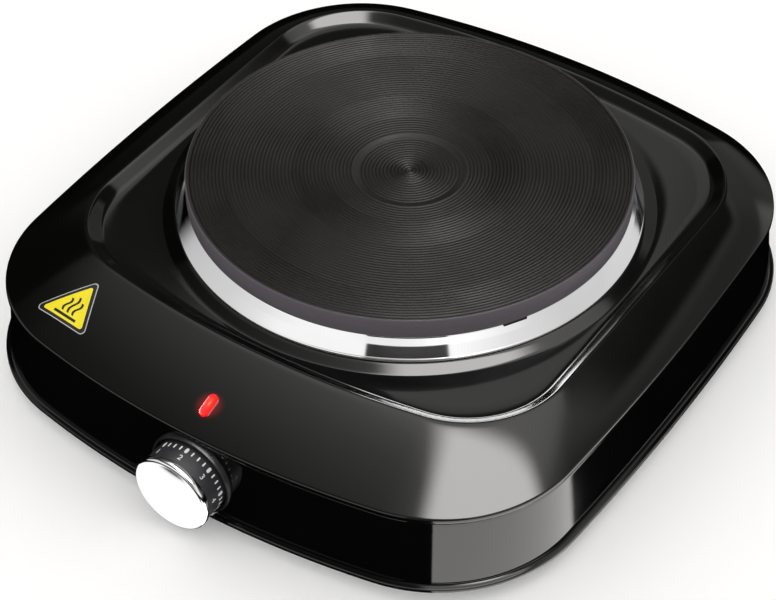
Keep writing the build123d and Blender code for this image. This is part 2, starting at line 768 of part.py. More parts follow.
with BuildPart() as knob_body:
    add(axle(knob_radius, knob_front_y, knob_back_y, knob_radius - knob_wall))
    add(axle(knob_radius - knob_wall + 0.1, knob_front_y, knob_front_y + 1.6))
    add(axle(5.6, knob_front_y + 1.5, bush_front_y - 0.9))
    add(axle(spindle_radius + 0.03, spindle_front_y - 0.3, knob_back_y), mode=Mode.SUBTRACT)
    with BuildSketch(Plane.XZ.offset(-spindle_front_y - 8.5)):
        with Locations((0, knob_z + 2.6)):
            Rectangle(4.4, 1.2)
    extrude(amount=8.5, mode=Mode.SUBTRACT)
save(knob_body, "knob_body")

with BuildPart() as knob_clip:
    with BuildSketch(Plane.XZ.offset(-spindle_front_y - 8.0)):
        with Locations((0, knob_z + 2.4)):
            Rectangle(4.0, 0.5)
    extrude(amount=7.5)
save(knob_clip, "knob_clip")

cap_back_y = knob_face_y + 4.0
dome_height = 1.1
cap_round = 1.2
shoulder_y = knob_face_y + dome_height
flat_radius = cap_radius - cap_round
dome_radius = (flat_radius ** 2 + dome_height ** 2) / (2 * dome_height)

with BuildPart() as knob_cap:
    with BuildSketch(Plane(origin=(0, 0, knob_z), x_dir=(1, 0, 0), z_dir=(0, 0, 1))):
        with BuildLine():
            Line((0, knob_face_y), (0, knob_front_y))
            Line((0, knob_front_y), (knob_radius + 0.05, knob_front_y))
            Line((knob_radius + 0.05, knob_front_y), (knob_radius + 0.05, cap_back_y))
            Line((knob_radius + 0.05, cap_back_y), (cap_radius, cap_back_y))
            Line((cap_radius, cap_back_y), (cap_radius, shoulder_y + cap_round))
            ThreePointArc((cap_radius, shoulder_y + cap_round),
                          (cap_radius - cap_round * (1 - sin(pi / 4)), shoulder_y + cap_round * (1 - cos(pi / 4))),
                          (flat_radius, shoulder_y))
            ThreePointArc((flat_radius, shoulder_y),
                          (flat_radius / 2, knob_face_y + dome_radius - sqrt(dome_radius ** 2 - flat_radius ** 2 / 4)),
                          (0, knob_face_y))
        make_face()
    revolve(axis=Axis((0, 0, knob_z), (0, 1, 0)))
save(knob_cap, "knob_cap")

# ---------------------------------------------------------------- pilot lamp
lens_back = lamp_plane.offset(-3.0)

with BuildPart() as lamp_lens:
    with BuildSketch(lens_back):
        SlotOverall(lamp_length, lamp_width, rotation=90)
    extrude(amount=4.0)
    fillet(lamp_lens.faces().sort_by(Axis.Z)[-1].edges(), 0.5)
save(lamp_lens, "lamp_lens")

with BuildPart() as lamp_holder:
    with BuildSketch(lamp_plane.offset(-3.0)):
        SlotOverall(lamp_length + 1.6, lamp_width + 1.6, rotation=90)
    extrude(amount=-9.0)
    with BuildSketch(lamp_plane.offset(-3.0)):
        SlotOverall(lamp_length - 1.2, lamp_width - 0.6, rotation=90)
    extrude(amount=-8.0, mode=Mode.SUBTRACT)
save(lamp_holder, "lamp_holder")

with BuildPart() as neon_tube:
    with BuildSketch(lamp_plane.offset(-5.0)):
        with Locations((0, 1.6)):
            Circle(1.6)
    extrude(amount=-6.0)
save(neon_tube, "neon_tube")

with BuildPart() as lamp_resistor:
    with BuildSketch(lamp_plane.offset(-5.0)):
        with Locations((0, -2.2)):
            Circle(1.1)
    extrude(amount=-6.0)
save(lamp_resistor, "lamp_resistor")

# ---------------------------------------------------------------- cord gland, terminal block, earth
gland_bore = 3.8
gland_nose_radius = 5.6
gland_end_y = overall_end_y
gland_inner_y = wall_rear_y - 9.0

with BuildPart() as cord_gland:
    add(axle(gland_nose_radius, gland_inner_y, gland_end_y, gland_bore, gland_z))
    add(axle(gland_flange_radius, wall_rear_y + 0.1, wall_rear_y + 3.1, gland_bore, gland_z))
    chamfer(cord_gland.edges().filter_by(GeomType.CIRCLE).group_by(Axis.Y)[-1], 0.6)
save(cord_gland, "cord_gland")

with BuildPart() as gland_nut:
    with BuildSketch(Plane.XZ.offset(-wall_rear_y + sheet + 0.6)):
        with Locations((0, gland_z)):
            RegularPolygon(8.0, 6, major_radius=False)
            Circle(gland_nose_radius + 0.05, mode=Mode.SUBTRACT)
    extrude(amount=4)
save(gland_nut, "gland_nut")

block_y = 112.0
block_half = 18.0
block_floor = pan_top
way_places = [(-12.0, block_y), (0.0, block_y), (12.0, block_y)]

with BuildPart() as terminal_block:
    with BuildSketch(Plane.XY.offset(block_floor)):
        with Locations((0, block_y)):
            Rectangle(2 * block_half, 14)
    extrude(amount=13)
    with BuildSketch(Plane.XY.offset(block_floor + 13)):
        with Locations(way_places):
            Circle(2.3)
    extrude(amount=-7.5, mode=Mode.SUBTRACT)
    with BuildSketch(Plane.XZ.offset(-block_y - 7)):
        with Locations((-12, 14), (0, 14), (12, 14)):
            Circle(1.8)
    extrude(amount=14, mode=Mode.SUBTRACT)
save(terminal_block, "terminal_block")

with BuildPart() as block_screws:
    with BuildSketch(Plane.XY.offset(block_floor + 11.5)):
        with Locations(way_places):
            Circle(2.1)
    extrude(amount=-4)
    with BuildSketch(Plane.XY.offset(block_floor + 11.5)):
        with Locations(way_places):
            Rectangle(0.7, 3.6)
    extrude(amount=-0.8, mode=Mode.SUBTRACT)
save(block_screws, "block_screws")

earth_x = 48.0
earth_y = 108.0

with BuildPart() as earth_tag:
    with BuildSketch(Plane.XY.offset(pan_top)):
        with Locations((earth_x, earth_y)):
            Circle(4.5)
        with Locations((earth_x - 7, earth_y)):
            Rectangle(12, 5)
        with Locations((earth_x, earth_y)):
            Circle(1.8, mode=Mode.SUBTRACT)
    extrude(amount=0.8)
save(earth_tag, "earth_tag")

with BuildPart() as earth_screw:
    with BuildSketch(Plane.XY.offset(pan_top + 0.8)):
        with Locations((earth_x, earth_y)):
            Circle(3.4)
    extrude(amount=2.2)
    with BuildSketch(Plane.XY.offset(pan_top + 0.8)):
        with Locations((earth_x, earth_y)):
            Circle(1.6)
    extrude(amount=-0.8)
save(earth_screw, "earth_screw")


# ---------------------------------------------------------------- internal leads
def lead(name, route, radius):
    """Insulated lead: straight runs joined by tangent arcs as large as the runs allow."""
    points = [Vector(*point) for point in route]
    bends = []
    for before, corner, after in zip(points, points[1:], points[2:]):
        first = corner - before
        second = after - corner
        turn = radians(first.get_angle(second))
        shorter = min(first.length, second.length)
        bends.append(0.45 * shorter * cos(turn / 2) / sin(turn / 2))
    with BuildLine() as path:
        FilletPolyline(*points, radius=bends)
    centre_line = path.wire()
    with BuildPart() as wire:
        with BuildSketch(Plane(origin=centre_line @ 0, z_dir=centre_line % 0)):
            Circle(radius)
        sweep(path=centre_line)
    wanted = pi * radius ** 2 * centre_line.length
    print(name, "length", round(centre_line.length, 1), "bend radii", [round(bend, 1) for bend in bends],
          "volume ratio", round(wire.part.volume / wanted, 3))
    save(wire, name)


lead("lead_live", [(-12, 104.4, 14), (-14, 97, 15), (-24, 93, 15.5), (-44, 97, 16), (-74, 88, 16), (-95, 60, 16),
                   (-101, 18, 16), (-98, -26, 16), (-84, -58, 18), (-66, -84, 21), (-44, -104, 21),
                   (-29, -118, 20), (-17.4, -125.7, 20)], lead_radius)
lead("lead_neutral", [(0, 104.4, 14), (2, 92, 19), (12, 70, 25), (18, 38, 29), (19, 0, 30), (16, -22, 31),
                      (9.3, -37, 35)], lead_radius)
lead("lead_earth", [(12, 104.4, 14), (14, 97, 14), (24, 95, 13), (33, 100, 11.5), (39.6, 106, 10.6)], lead_radius)
lead("lead_switched", [(17.6, -116, 27), (27, -111, 27), (34, -94, 28), (24, -74, 29), (4, -66, 30),
                       (-10, -56, 32), (-8.9, -37.5, 36)], lead_radius)
lead("lamp_lead_live", [(17.6, -116, 30), (22, -121, 32.5), (17, -127, 35), (9, -129, 37), (4.2, -128, 38)],
     lamp_lead_radius)
lead("lamp_lead_neutral", [(-4.2, -127, 39), (-12, -124, 38), (-22, -110, 35), (-24, -88, 35), (-14, -64, 36),
                           (0, -50, 36), (5.3, -42, 36)], lamp_lead_radius)
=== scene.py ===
import math
from functools import partial

import bmesh
import bpy
from mathutils import Matrix, Vector


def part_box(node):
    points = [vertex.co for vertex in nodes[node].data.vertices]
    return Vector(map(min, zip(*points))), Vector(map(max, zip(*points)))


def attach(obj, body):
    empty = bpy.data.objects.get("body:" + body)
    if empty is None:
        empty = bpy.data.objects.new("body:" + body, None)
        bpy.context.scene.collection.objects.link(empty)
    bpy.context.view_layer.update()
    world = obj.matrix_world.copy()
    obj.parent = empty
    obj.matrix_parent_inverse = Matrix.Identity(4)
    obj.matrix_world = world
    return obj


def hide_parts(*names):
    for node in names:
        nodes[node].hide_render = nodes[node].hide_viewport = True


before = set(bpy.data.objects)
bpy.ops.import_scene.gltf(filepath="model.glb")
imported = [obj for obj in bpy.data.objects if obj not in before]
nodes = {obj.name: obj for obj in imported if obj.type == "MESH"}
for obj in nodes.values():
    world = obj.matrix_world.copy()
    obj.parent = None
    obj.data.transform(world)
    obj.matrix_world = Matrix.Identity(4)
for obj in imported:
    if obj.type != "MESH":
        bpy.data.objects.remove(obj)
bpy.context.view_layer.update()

# ------------------------------------------------------------------ base pan
# The floor of the appliance: a pan pressed from aluminised steel sheet, with punched
# air slots and an upturned rim that slips inside the side band.


def shader_group(name, inputs, outputs):
    """Empty shader node group with named float or colour sockets."""
    group = bpy.data.node_groups.new(name, "ShaderNodeTree")
    for label, kind, value in inputs:
        socket = group.interface.new_socket(label, in_out="INPUT", socket_type=kind)
        socket.default_value = value
    for label, kind in outputs:
        group.interface.new_socket(label, in_out="OUTPUT", socket_type=kind)
    start = group.nodes.new("NodeGroupInput")
    end = group.nodes.new("NodeGroupOutput")
    return group, start, end


FLOAT = "NodeSocketFloat"
COLOUR = "NodeSocketColor"


def preset(node, values):
    """Set a node's unlinked sockets by name."""
    for label, value in values.items():
        node.inputs[label].default_value = value


def sheet_grain():
    """Rolled or cast surface: blotches of tone, and a fine relief for the bump."""
    group, start, end = shader_group(
        "sheet_grain",
        [("Dark", COLOUR, (0.1, 0.1, 0.1, 1)), ("Light", COLOUR, (0.2, 0.2, 0.2, 1)),
         ("Blotch scale", FLOAT, 60.0), ("Fine scale", FLOAT, 900.0),
         ("Smoothest", FLOAT, 0.3), ("Roughest", FLOAT, 0.5)],
        [("Colour", COLOUR), ("Roughness", FLOAT), ("Relief", FLOAT)])
    new, link = group.nodes.new, group.links.new
    where = new("ShaderNodeTexCoord")
    blotch = new("ShaderNodeTexNoise")
    blotch.inputs["Detail"].default_value = 4
    fine = new("ShaderNodeTexNoise")
    fine.inputs["Detail"].default_value = 3
    for noise, scale in ((blotch, "Blotch scale"), (fine, "Fine scale")):
        link(where.outputs["Object"], noise.inputs["Vector"])
        link(start.outputs[scale], noise.inputs["Scale"])
    mix = new("ShaderNodeMix")
    mix.data_type = "RGBA"
    link(blotch.outputs["Fac"], mix.inputs["Factor"])
    link(start.outputs["Dark"], mix.inputs["A"])
    link(start.outputs["Light"], mix.inputs["B"])
    spread = new("ShaderNodeMapRange")
    preset(spread, {"From Min": 0.3, "From Max": 0.7})
    link(blotch.outputs["Fac"], spread.inputs["Value"])
    link(start.outputs["Smoothest"], spread.inputs["To Min"])
    link(start.outputs["Roughest"], spread.inputs["To Max"])
    link(mix.outputs["Result"], end.inputs["Colour"])
    link(spread.outputs["Result"], end.inputs["Roughness"])
    link(fine.outputs["Fac"], end.inputs["Relief"])
    return group


grain_group = sheet_grain()


def blank_material(name):
    """New material with its node tree and its shader."""
    material = bpy.data.materials.new(name)
    material.use_nodes = True
    return material, material.node_tree, material.node_tree.nodes["Principled BSDF"]


def grained(tree, dark, light, scales, polish):
    """Sheet grain in a material: tones, blotch and fine scale, smoothest and roughest spots."""
    surface = tree.nodes.new("ShaderNodeGroup")
    surface.node_tree = grain_group
    preset(surface, {"Dark": (*dark, 1), "Light": (*light, 1), "Blotch scale": scales[0],
                     "Fine scale": scales[1], "Smoothest": polish[0], "Roughest": polish[1]})
    shader = tree.nodes["Principled BSDF"]
    tree.links.new(surface.outputs["Colour"], shader.inputs["Base Color"])
    tree.links.new(surface.outputs["Roughness"], shader.inputs["Roughness"])
    return surface


def embossed(tree, height, strength, depth):
    """Bump the shader's normal by a height signal."""
    relief = tree.nodes.new("ShaderNodeBump")
    preset(relief, {"Strength": strength, "Distance": depth})
    tree.links.new(height, relief.inputs["Height"])
    tree.links.new(relief.outputs["Normal"], tree.nodes["Principled BSDF"].inputs["Normal"])


def finish(name, dark, light, scales, polish, metallic=0.0, bump=0.0, bump_depth=0.0002):
    """Material made of the sheet grain alone."""
    material, tree, shader = blank_material(name)
    shader.inputs["Metallic"].default_value = metallic
    surface = grained(tree, dark, light, scales, polish)
    if bump > 0:
        embossed(tree, surface.outputs["Relief"], bump, bump_depth)
    return material


def wear(material, *names):
    """Give CAD nodes their finish."""
    for name in names:
        node = nodes[name]
        node.data.materials.clear()
        node.data.materials.append(material)


aluminised = finish("aluminised_sheet", (0.46, 0.47, 0.48), (0.56, 0.57, 0.58),
                    (320, 1500), (0.28, 0.5), metallic=0.9, bump=0.25)
wear(aluminised, "base_pan", "heat_shield", "underside_cover")

# ------------------------------------------------------------------ rubber feet
# Four turned rubber feet under the pan, each held by the long screw that also pulls
# the pan up to the cover.
rubber = finish("black_rubber", (0.010, 0.010, 0.010), (0.028, 0.027, 0.026),
                (240, 2600), (0.62, 0.85), bump=0.5, bump_depth=0.0004)
foot_names = ["foot_front_left", "foot_front_right", "foot_rear_left", "foot_rear_right"]
wear(rubber, *foot_names)

# ------------------------------------------------------------------ foot screws
# Zinc-plated pan-head screws with a cross recess, one up through each foot.
zinc = finish("zinc_plate", (0.44, 0.44, 0.43), (0.66, 0.66, 0.64),
              (320, 2400), (0.22, 0.42), metallic=1.0, bump=0.15, bump_depth=0.0001)


def link_object(name, data, material=None):
    """New object at the origin that holds a mesh or other data."""
    made = bpy.data.objects.new(name, data)
    bpy.context.scene.collection.objects.link(made)
    if material is not None:
        data.materials.append(material)
    return made


def stitch(form, rows):
    """Join closed rows of equally many vertices with bands of four-sided faces."""
    for low, high in zip(rows, rows[1:]):
        for i in range(len(low)):
            j = (i + 1) % len(low)
            form.faces.new((low[i], low[j], high[j], high[i]))


def turned(name, profile, steps, axis="Z", centre=(0.0, 0.0, 0.0), material=None, sharp=35.0):
    """Closed turned piece: profile points (radius, along) spun about an axis through centre."""
    form = bmesh.new()
    rings = []
    for radius, along in profile:
        ring = []
        for i in range(steps):
            turn = 2 * math.pi * i / steps
            over, up = radius * math.cos(turn), radius * math.sin(turn)
            point = (over, up, along) if axis == "Z" else (up, along, over)
            ring.append(form.verts.new(Vector(point) + Vector(centre)))
        rings.append(ring)
    stitch(form, rings + rings[:1])
    bmesh.ops.remove_doubles(form, verts=form.verts, dist=1e-6)
    bmesh.ops.dissolve_degenerate(form, edges=form.edges, dist=1e-7)
    loose = [edge for edge in form.edges if not edge.link_faces]
    bmesh.ops.delete(form, geom=loose, context="EDGES")
    bmesh.ops.recalc_face_normals(form, faces=form.faces)
    return settle(name, form, material, sharp)


def smooth_shade(form, sharp):
    """Shade a bmesh smooth, its edges over the angle kept sharp."""
    for face in form.faces:
        face.smooth = True
    for edge in form.edges:
        if len(edge.link_faces) == 2:
            edge.smooth = edge.calc_face_angle() < math.radians(sharp)


def settle(name, form, material, sharp):
    """Turn a bmesh into a smooth-shaded object."""
    mesh = bpy.data.meshes.new(name)
    smooth_shade(form, sharp)
    form.to_mesh(mesh)
    form.free()
    return link_object(name, mesh, material)


def sharpen(mesh, sharp=35.0):
    """Smooth-shade a mesh again after a cut or a tree."""
    form = bmesh.new()
    form.from_mesh(mesh)
    smooth_shade(form, sharp)
    form.to_mesh(mesh)
    form.free()


def modified_mesh(piece):
    """Plain copy of a piece's mesh with its modifiers applied."""
    return bpy.data.meshes.new_from_object(piece.evaluated_get(bpy.context.evaluated_depsgraph_get()))


def apply_modifiers(piece):
    """Keep the modified mesh of a piece as its own."""
    mesh = modified_mesh(piece)
    piece.modifiers.clear()
    piece.data = mesh


def cut_away(piece, tool, sharp=35.0, use_self=True):
    """Cut the shape of a tool out of a piece and discard the tool."""
    cut = piece.modifiers.new("Cut", "BOOLEAN")
    cut.operation, cut.solver = "DIFFERENCE", "EXACT"
    cut.use_self = use_self
    cut.object = tool
    apply_modifiers(piece)
    sharpen(piece.data, sharp)
    bpy.data.objects.remove(tool)


def geometry_tree(name, inputs):
    """Geometry node tree with named inputs and a geometry output."""
    tree = bpy.data.node_groups.new(name, "GeometryNodeTree")
    sockets = {}
    for label, kind in inputs:
        sockets[label] = tree.interface.new_socket(label, in_out="INPUT", socket_type=kind).identifier
    tree.interface.new_socket("Geometry", in_out="OUTPUT", socket_type="NodeSocketGeometry")
    return tree, tree.nodes.new("NodeGroupInput"), tree.nodes.new("NodeGroupOutput"), sockets


def run_tree(name, tree, sockets, values, sharp=35.0):
    """Run a geometry node tree on an empty mesh and keep the result as a plain mesh."""
    carrier = link_object(name + "_carrier", bpy.data.meshes.new(name + "_carrier"))
    modifier = carrier.modifiers.new("Build", "NODES")
    modifier.node_group = tree
    for label, value in values.items():
        modifier[sockets[label]] = value
    bpy.context.view_layer.update()
    mesh = modified_mesh(carrier)
    bpy.data.objects.remove(carrier)
    mesh.name = name
    sharpen(mesh, sharp)
    return link_object(name, mesh)


def bake_and_paint(tree, geometry, material, end):
    """Last nodes of a tree: real geometry, its material and the output."""
    bake = tree.nodes.new("GeometryNodeRealizeInstances")
    paint = tree.nodes.new("GeometryNodeSetMaterial")
    tree.links.new(geometry, bake.inputs["Geometry"])
    tree.links.new(bake.outputs["Geometry"], paint.inputs["Geometry"])
    tree.links.new(material, paint.inputs["Material"])
    tree.links.new(paint.outputs["Geometry"], end.inputs["Geometry"])


def repeat_on_points(tree_name):
    """Tree that copies a template mesh to the points of a second mesh, then bakes them."""
    tree, start, end, sockets = geometry_tree(
        tree_name, [("Template", "NodeSocketObject"), ("Places", "NodeSocketObject"),
                    ("Finish", "NodeSocketMaterial")])
    new, link = tree.nodes.new, tree.links.new
    shape = new("GeometryNodeObjectInfo")
    places = new("GeometryNodeObjectInfo")
    link(start.outputs["Template"], shape.inputs["Object"])
    link(start.outputs["Places"], places.inputs["Object"])
    copies = new("GeometryNodeInstanceOnPoints")
    link(places.outputs["Geometry"], copies.inputs["Points"])
    link(shape.outputs["Geometry"], copies.inputs["Instance"])
    turn = new("GeometryNodeInputNamedAttribute")
    turn.data_type = "FLOAT_VECTOR"
    turn.inputs["Name"].default_value = "turn"
    link(turn.outputs["Attribute"], copies.inputs["Rotation"])
    bake_and_paint(tree, copies.outputs["Instances"], start.outputs["Finish"], end)
    return tree, sockets


copy_tree, copy_sockets = repeat_on_points("copies_on_points")


def set_copies(name, template, points, turns, material):
    """One mesh of copies of a template, set on points with a turn at each."""
    mesh = bpy.data.meshes.new("places")
    mesh.from_pydata([tuple(p) for p in points], [], [])
    attribute = mesh.attributes.new("turn", "FLOAT_VECTOR", "POINT")
    for i, turn in enumerate(turns):
        attribute.data[i].vector = turn
    places = link_object("places", mesh)
    made = run_tree(name, copy_tree, copy_sockets,
                    {"Template": template, "Places": places, "Finish": material})
    for used in (template, places):
        bpy.data.objects.remove(used)
    return made


def cross_head_screw(name, head_radius, head_height, shank_radius, shank_length):
    """Pan-head screw standing on its head, head down, with a cut cross recess."""
    profile = [(0.0, 0.0), (head_radius * 0.55, 0.0), (head_radius * 0.85, head_height * 0.16),
               (head_radius, head_height * 0.5), (head_radius, head_height), (shank_radius, head_height)]
    thread_pitch = 0.0007
    along = head_height
    while along < shank_length - thread_pitch:
        profile.append((shank_radius, along + thread_pitch * 0.1))
        profile.append((shank_radius * 0.84, along + thread_pitch * 0.5))
        profile.append((shank_radius, along + thread_pitch * 0.9))
        along += thread_pitch
    profile += [(shank_radius * 0.5, shank_length), (0.0, shank_length)]
    body = turned(name, profile, 32)
    cutter_form = bmesh.new()
    for turn in (0.0, math.pi / 2):
        blade = bmesh.ops.create_cube(cutter_form, size=1.0)["verts"]
        blade_size = (head_radius * 1.25, head_radius * 0.24, head_height * 1.1)
        bmesh.ops.scale(cutter_form, vec=blade_size, verts=blade)
        bmesh.ops.rotate(cutter_form, cent=(0, 0, 0), matrix=Matrix.Rotation(turn, 3, "Z"), verts=blade)
    cut_away(body, settle(name + "_cutter", cutter_form, None, 30.0))
    return body


screw_low, screw_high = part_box("foot_screws")
foot_centres = [(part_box(name)[0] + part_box(name)[1]) / 2 for name in foot_names]
screw_template = cross_head_screw("screw_template", 0.0038, 0.0022, 0.0019, screw_high.z - screw_low.z)
screw_feet = [(c.x, c.y, screw_low.z) for c in foot_centres]
screw_turns = [(0, 0, 0.4 + 0.7 * i) for i in range(len(foot_centres))]
foot_screws = set_copies("foot_screws_turned", screw_template, screw_feet, screw_turns, zinc)
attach(foot_screws, "housing")
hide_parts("foot_screws")

# ------------------------------------------------------------------ side band
# A strip of steel bent round to the plan of the body and welded, black enamelled, with
# an out-turned lip at the bottom and an in-turned flange that the cover sits over.


def rounded_plan(form, inset, steps=(16, 26, 16)):
    """Plan outline of eight arcs as (x, y) points, anticlockwise from the right-hand side."""
    width, depth, corner = form["half_width"], form["half_depth"], form["corner"]
    end_radius = (width ** 2 + form["end_bow"] ** 2) / (2 * form["end_bow"])
    side_radius = (depth ** 2 + form["side_bow"] ** 2) / (2 * form["side_bow"])
    end_y, side_x = depth - end_radius, width - side_radius
    from_end, from_side = end_radius - corner, side_radius - corner
    span = math.hypot(side_x, end_y)
    along = (from_end ** 2 - from_side ** 2 + span ** 2) / (2 * span)
    across = math.sqrt(from_end ** 2 - along ** 2)
    unit = Vector((side_x / span, -end_y / span))
    centre = Vector((0, end_y)) + along * unit + across * Vector((unit.y, -unit.x))
    if centre.x < 0:
        centre = Vector((0, end_y)) + along * unit - across * Vector((unit.y, -unit.x))
    end_angle = math.atan2(centre.y - end_y, centre.x)
    side_angle = math.atan2(centre.y, centre.x - side_x)
    arcs = [(side_x, 0.0, side_radius, 0.0, side_angle), (centre.x, centre.y, corner, side_angle, end_angle),
            (0.0, end_y, end_radius, end_angle, math.pi / 2)]
    quarter = []
    for count, (x, y, radius, first, last) in zip(steps, arcs):
        quarter = quarter[:-1]
        for i in range(count + 1):
            angle = first + (last - first) * i / count
            quarter.append((x + (radius - inset) * math.cos(angle), y + (radius - inset) * math.sin(angle)))
    shift = form["centre_y"]
    loop = [(x, shift + y) for x, y in quarter[:-1]]
    loop += [(-x, shift + y) for x, y in reversed(quarter[1:])]
    loop += [(-x, shift - y) for x, y in quarter[:-1]]
    loop += [(x, shift - y) for x, y in reversed(quarter[1:])]
    return loop


def plan_row(form, inset, z):
    """Plan outline as points at one height."""
    return [(x, y, z) for x, y in rounded_plan(form, inset)]


def skinned(name, rows, material, wall, sharp=35.0):
    """Sheet piece through rows of equally many points, thickened inwards by wall."""
    form = bmesh.new()
    stitch(form, [[form.verts.new(point) for point in row] for row in rows])
    piece = settle(name, form, material, sharp)
    thick = piece.modifiers.new("Sheet", "SOLIDIFY")
    thick.thickness = wall
    thick.offset = -1.0
    thick.use_even_offset = False
    apply_modifiers(piece)
    return piece


cover_low, cover_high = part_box("top_cover")
band_low, band_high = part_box("side_band")
cover_edge = {"half_width": cover_high.x, "half_depth": cover_high.y, "centre_y": 0.0,
              "corner": 0.0614, "end_bow": 0.0214, "side_bow": 0.0078}
foot_reach, top_setback, seat_setback = 0.0014, 0.0015, 0.003
lip_reach = band_high.x - cover_high.x
lip_top = band_low.z + 0.002
lean = (foot_reach + top_setback) / (band_high.z - lip_top)
band_profile = [(0.0004 - lip_reach, band_low.z), (0.0001 - lip_reach, band_low.z + 0.0003),
                (-lip_reach, band_low.z + 0.0007), (-lip_reach, lip_top - 0.0007),
                (0.0001 - lip_reach, lip_top - 0.0004), (0.0004 - lip_reach, lip_top - 0.0001),
                (0.0008 - lip_reach, lip_top), (-foot_reach - 0.0010, lip_top),
                (-foot_reach - 0.0005, lip_top + 0.0001), (-foot_reach - 0.00015, lip_top + 0.0004),
                (lean * 0.0009 - foot_reach, lip_top + 0.0009)]
for rise in (0.0012, 0.010, 0.020, 0.0295, 0.0302):
    band_profile.append((lean * rise - foot_reach, lip_top + rise))
band_profile += [(top_setback, band_high.z - 0.0009), (top_setback + 0.0005, band_high.z - 0.0003),
                 (top_setback + 0.0014, band_high.z), (top_setback + 0.0062, band_high.z)]


def enamel(name, tint, roughness, glow=None):
    """Fired black enamel: a deep glassy layer with a trace of orange peel. A glow, if given, is painted
    light: the pilot lamp's red light painted as emission round a centre.
    """
    material, tree, shader = blank_material(name)
    new, link = tree.nodes.new, tree.links.new
    surface = grained(tree, [c * 0.8 for c in tint], [c * 1.25 for c in tint], (35, 420),
                      (roughness * 0.85, roughness * 1.2))
    embossed(tree, surface.outputs["Relief"], 0.012, 0.0002)
    if glow is not None:
        # Painted light: the pilot lamp's red spill on the enamel, painted as emission that fades out from the
        # centre.
        centre, reach, strength = glow
        where = new("ShaderNodeTexCoord")
        shift = new("ShaderNodeVectorMath")
        shift.operation = "DISTANCE"
        shift.inputs[1].default_value = centre
        link(where.outputs["Object"], shift.inputs[0])
        fade = new("ShaderNodeMapRange")
        fade.interpolation_type = "SMOOTHERSTEP"
        preset(fade, {"From Min": reach * 0.25, "From Max": reach, "To Min": 1.0, "To Max": 0.0})
        link(shift.outputs["Value"], fade.inputs["Value"])
        tone = new("ShaderNodeMix")
        tone.data_type = "RGBA"
        preset(tone, {"A": (0, 0, 0, 1), "B": (1.0, 0.03, 0.015, 1)})
        link(fade.outputs["Result"], tone.inputs["Factor"])
        link(tone.outputs["Result"], shader.inputs["Emission Color"])
        shader.inputs["Emission Strength"].default_value = strength
    return material


band_enamel = enamel("black_enamel_band", (0.0014, 0.0016, 0.0015), 0.05)
band_rows = [plan_row(cover_edge, inset, z) for inset, z in band_profile]
side_band = skinned("side_band_enamelled", band_rows, band_enamel, 0.0009)

knob_axis_z = ((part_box("knob_bezel")[0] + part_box("knob_bezel")[1]) / 2).z
bezel_radius = (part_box("knob_bezel")[1].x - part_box("knob_bezel")[0].x) / 2
gland_low, gland_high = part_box("cord_gland")
gland_axis_z = (gland_low.z + gland_high.z) / 2
seats = [("gland_seat_pressed", (gland_high.x - gland_low.x) / 2 + 0.0006, 1, gland_axis_z, 0.0062),
         ("knob_seat_pressed", bezel_radius + 0.0001, -1, knob_axis_z, 0.0053)]
for seat_name, seat_radius, facing, axis_z, seat_hole in seats:
    face_y = facing * (cover_high.y - seat_setback)
    notch = turned("notch", [(0.0, face_y + facing * 0.012), (seat_radius, face_y + facing * 0.012),
                             (seat_radius, face_y), (0.0, face_y)], 96, axis="Y", centre=(0, 0, axis_z))
    cut_away(side_band, notch, sharp=20.0, use_self=facing < 0)
    cup = [(seat_hole, face_y), (seat_radius, face_y), (seat_radius, face_y + facing * 0.0010),
           (seat_radius + 0.0009, face_y + facing * 0.0010), (seat_radius + 0.0009, face_y - facing * 0.0006),
           (seat_radius + 0.0006, face_y - facing * 0.0009), (seat_hole, face_y - facing * 0.0009)]
    seat = turned(seat_name, cup, 96, axis="Y", centre=(0, 0, axis_z), material=band_enamel)
    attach(seat, "housing")
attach(side_band, "housing")
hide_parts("side_band")

# ------------------------------------------------------------------ inner pieces
# What the closed body hides: clamp, stud and nut, ceramic parts, thermostat, terminal
# block, lamp parts and leads. They keep their CAD shapes and get their real finishes.
wear(zinc, "cover_posts", "plate_stud", "clamp_bar", "stud_washer", "stud_nut", "plate_terminals",
     "thermo_bracket", "bracket_screws", "bush_nut", "thermo_spindle", "earth_screw")
wear(finish("steatite", (0.70, 0.67, 0.60), (0.86, 0.84, 0.78), (300, 3000), (0.5, 0.7), bump=0.3),
     "terminal_bead", "thermal_cutout", "push_pin", "pin_guide", "insulator_stack")
wear(finish("magnesia_fill", (0.55, 0.50, 0.44), (0.80, 0.76, 0.70), (220, 1400),
            (0.8, 0.95), bump=0.8, bump_depth=0.0006), "insulation_compound")
wear(finish("spring_steel", (0.38, 0.38, 0.39), (0.58, 0.58, 0.59), (400, 3000),
            (0.2, 0.35), metallic=1.0, bump=0.1), "contact_leaf", "knob_clip")
wear(finish("brass_strip", (0.58, 0.42, 0.16), (0.82, 0.64, 0.30), (350, 2600),
            (0.22, 0.4), metallic=1.0, bump=0.1), "thermo_bush", "stack_rivets", "fixed_leaf",
     "thermo_terminal", "block_screws", "earth_tag")
wear(finish("bimetal_strip", (0.42, 0.36, 0.28), (0.60, 0.55, 0.47), (350, 2600),
            (0.25, 0.4), metallic=1.0, bump=0.1), "bimetal_blade")
wear(finish("silver_contact", (0.72, 0.71, 0.69), (0.90, 0.89, 0.87), (600, 4000),
            (0.25, 0.4), metallic=1.0, bump=0.1), "moving_contact", "fixed_contact")
wear(finish("heating_wire", (0.14, 0.12, 0.11), (0.30, 0.27, 0.25), (300, 1800),
            (0.4, 0.6), metallic=0.9, bump=0.5), "heating_coil_inner", "heating_coil_outer")
wear(finish("gasket_fibre", (0.20, 0.19, 0.17), (0.40, 0.38, 0.34), (500, 2200),
            (0.85, 0.98), bump=1.0, bump_depth=0.0005), "seat_gasket")
wear(finish("natural_nylon", (0.60, 0.58, 0.50), (0.76, 0.74, 0.67), (120, 2200), (0.35, 0.5), bump=0.2),
     "lamp_holder", "terminal_block")
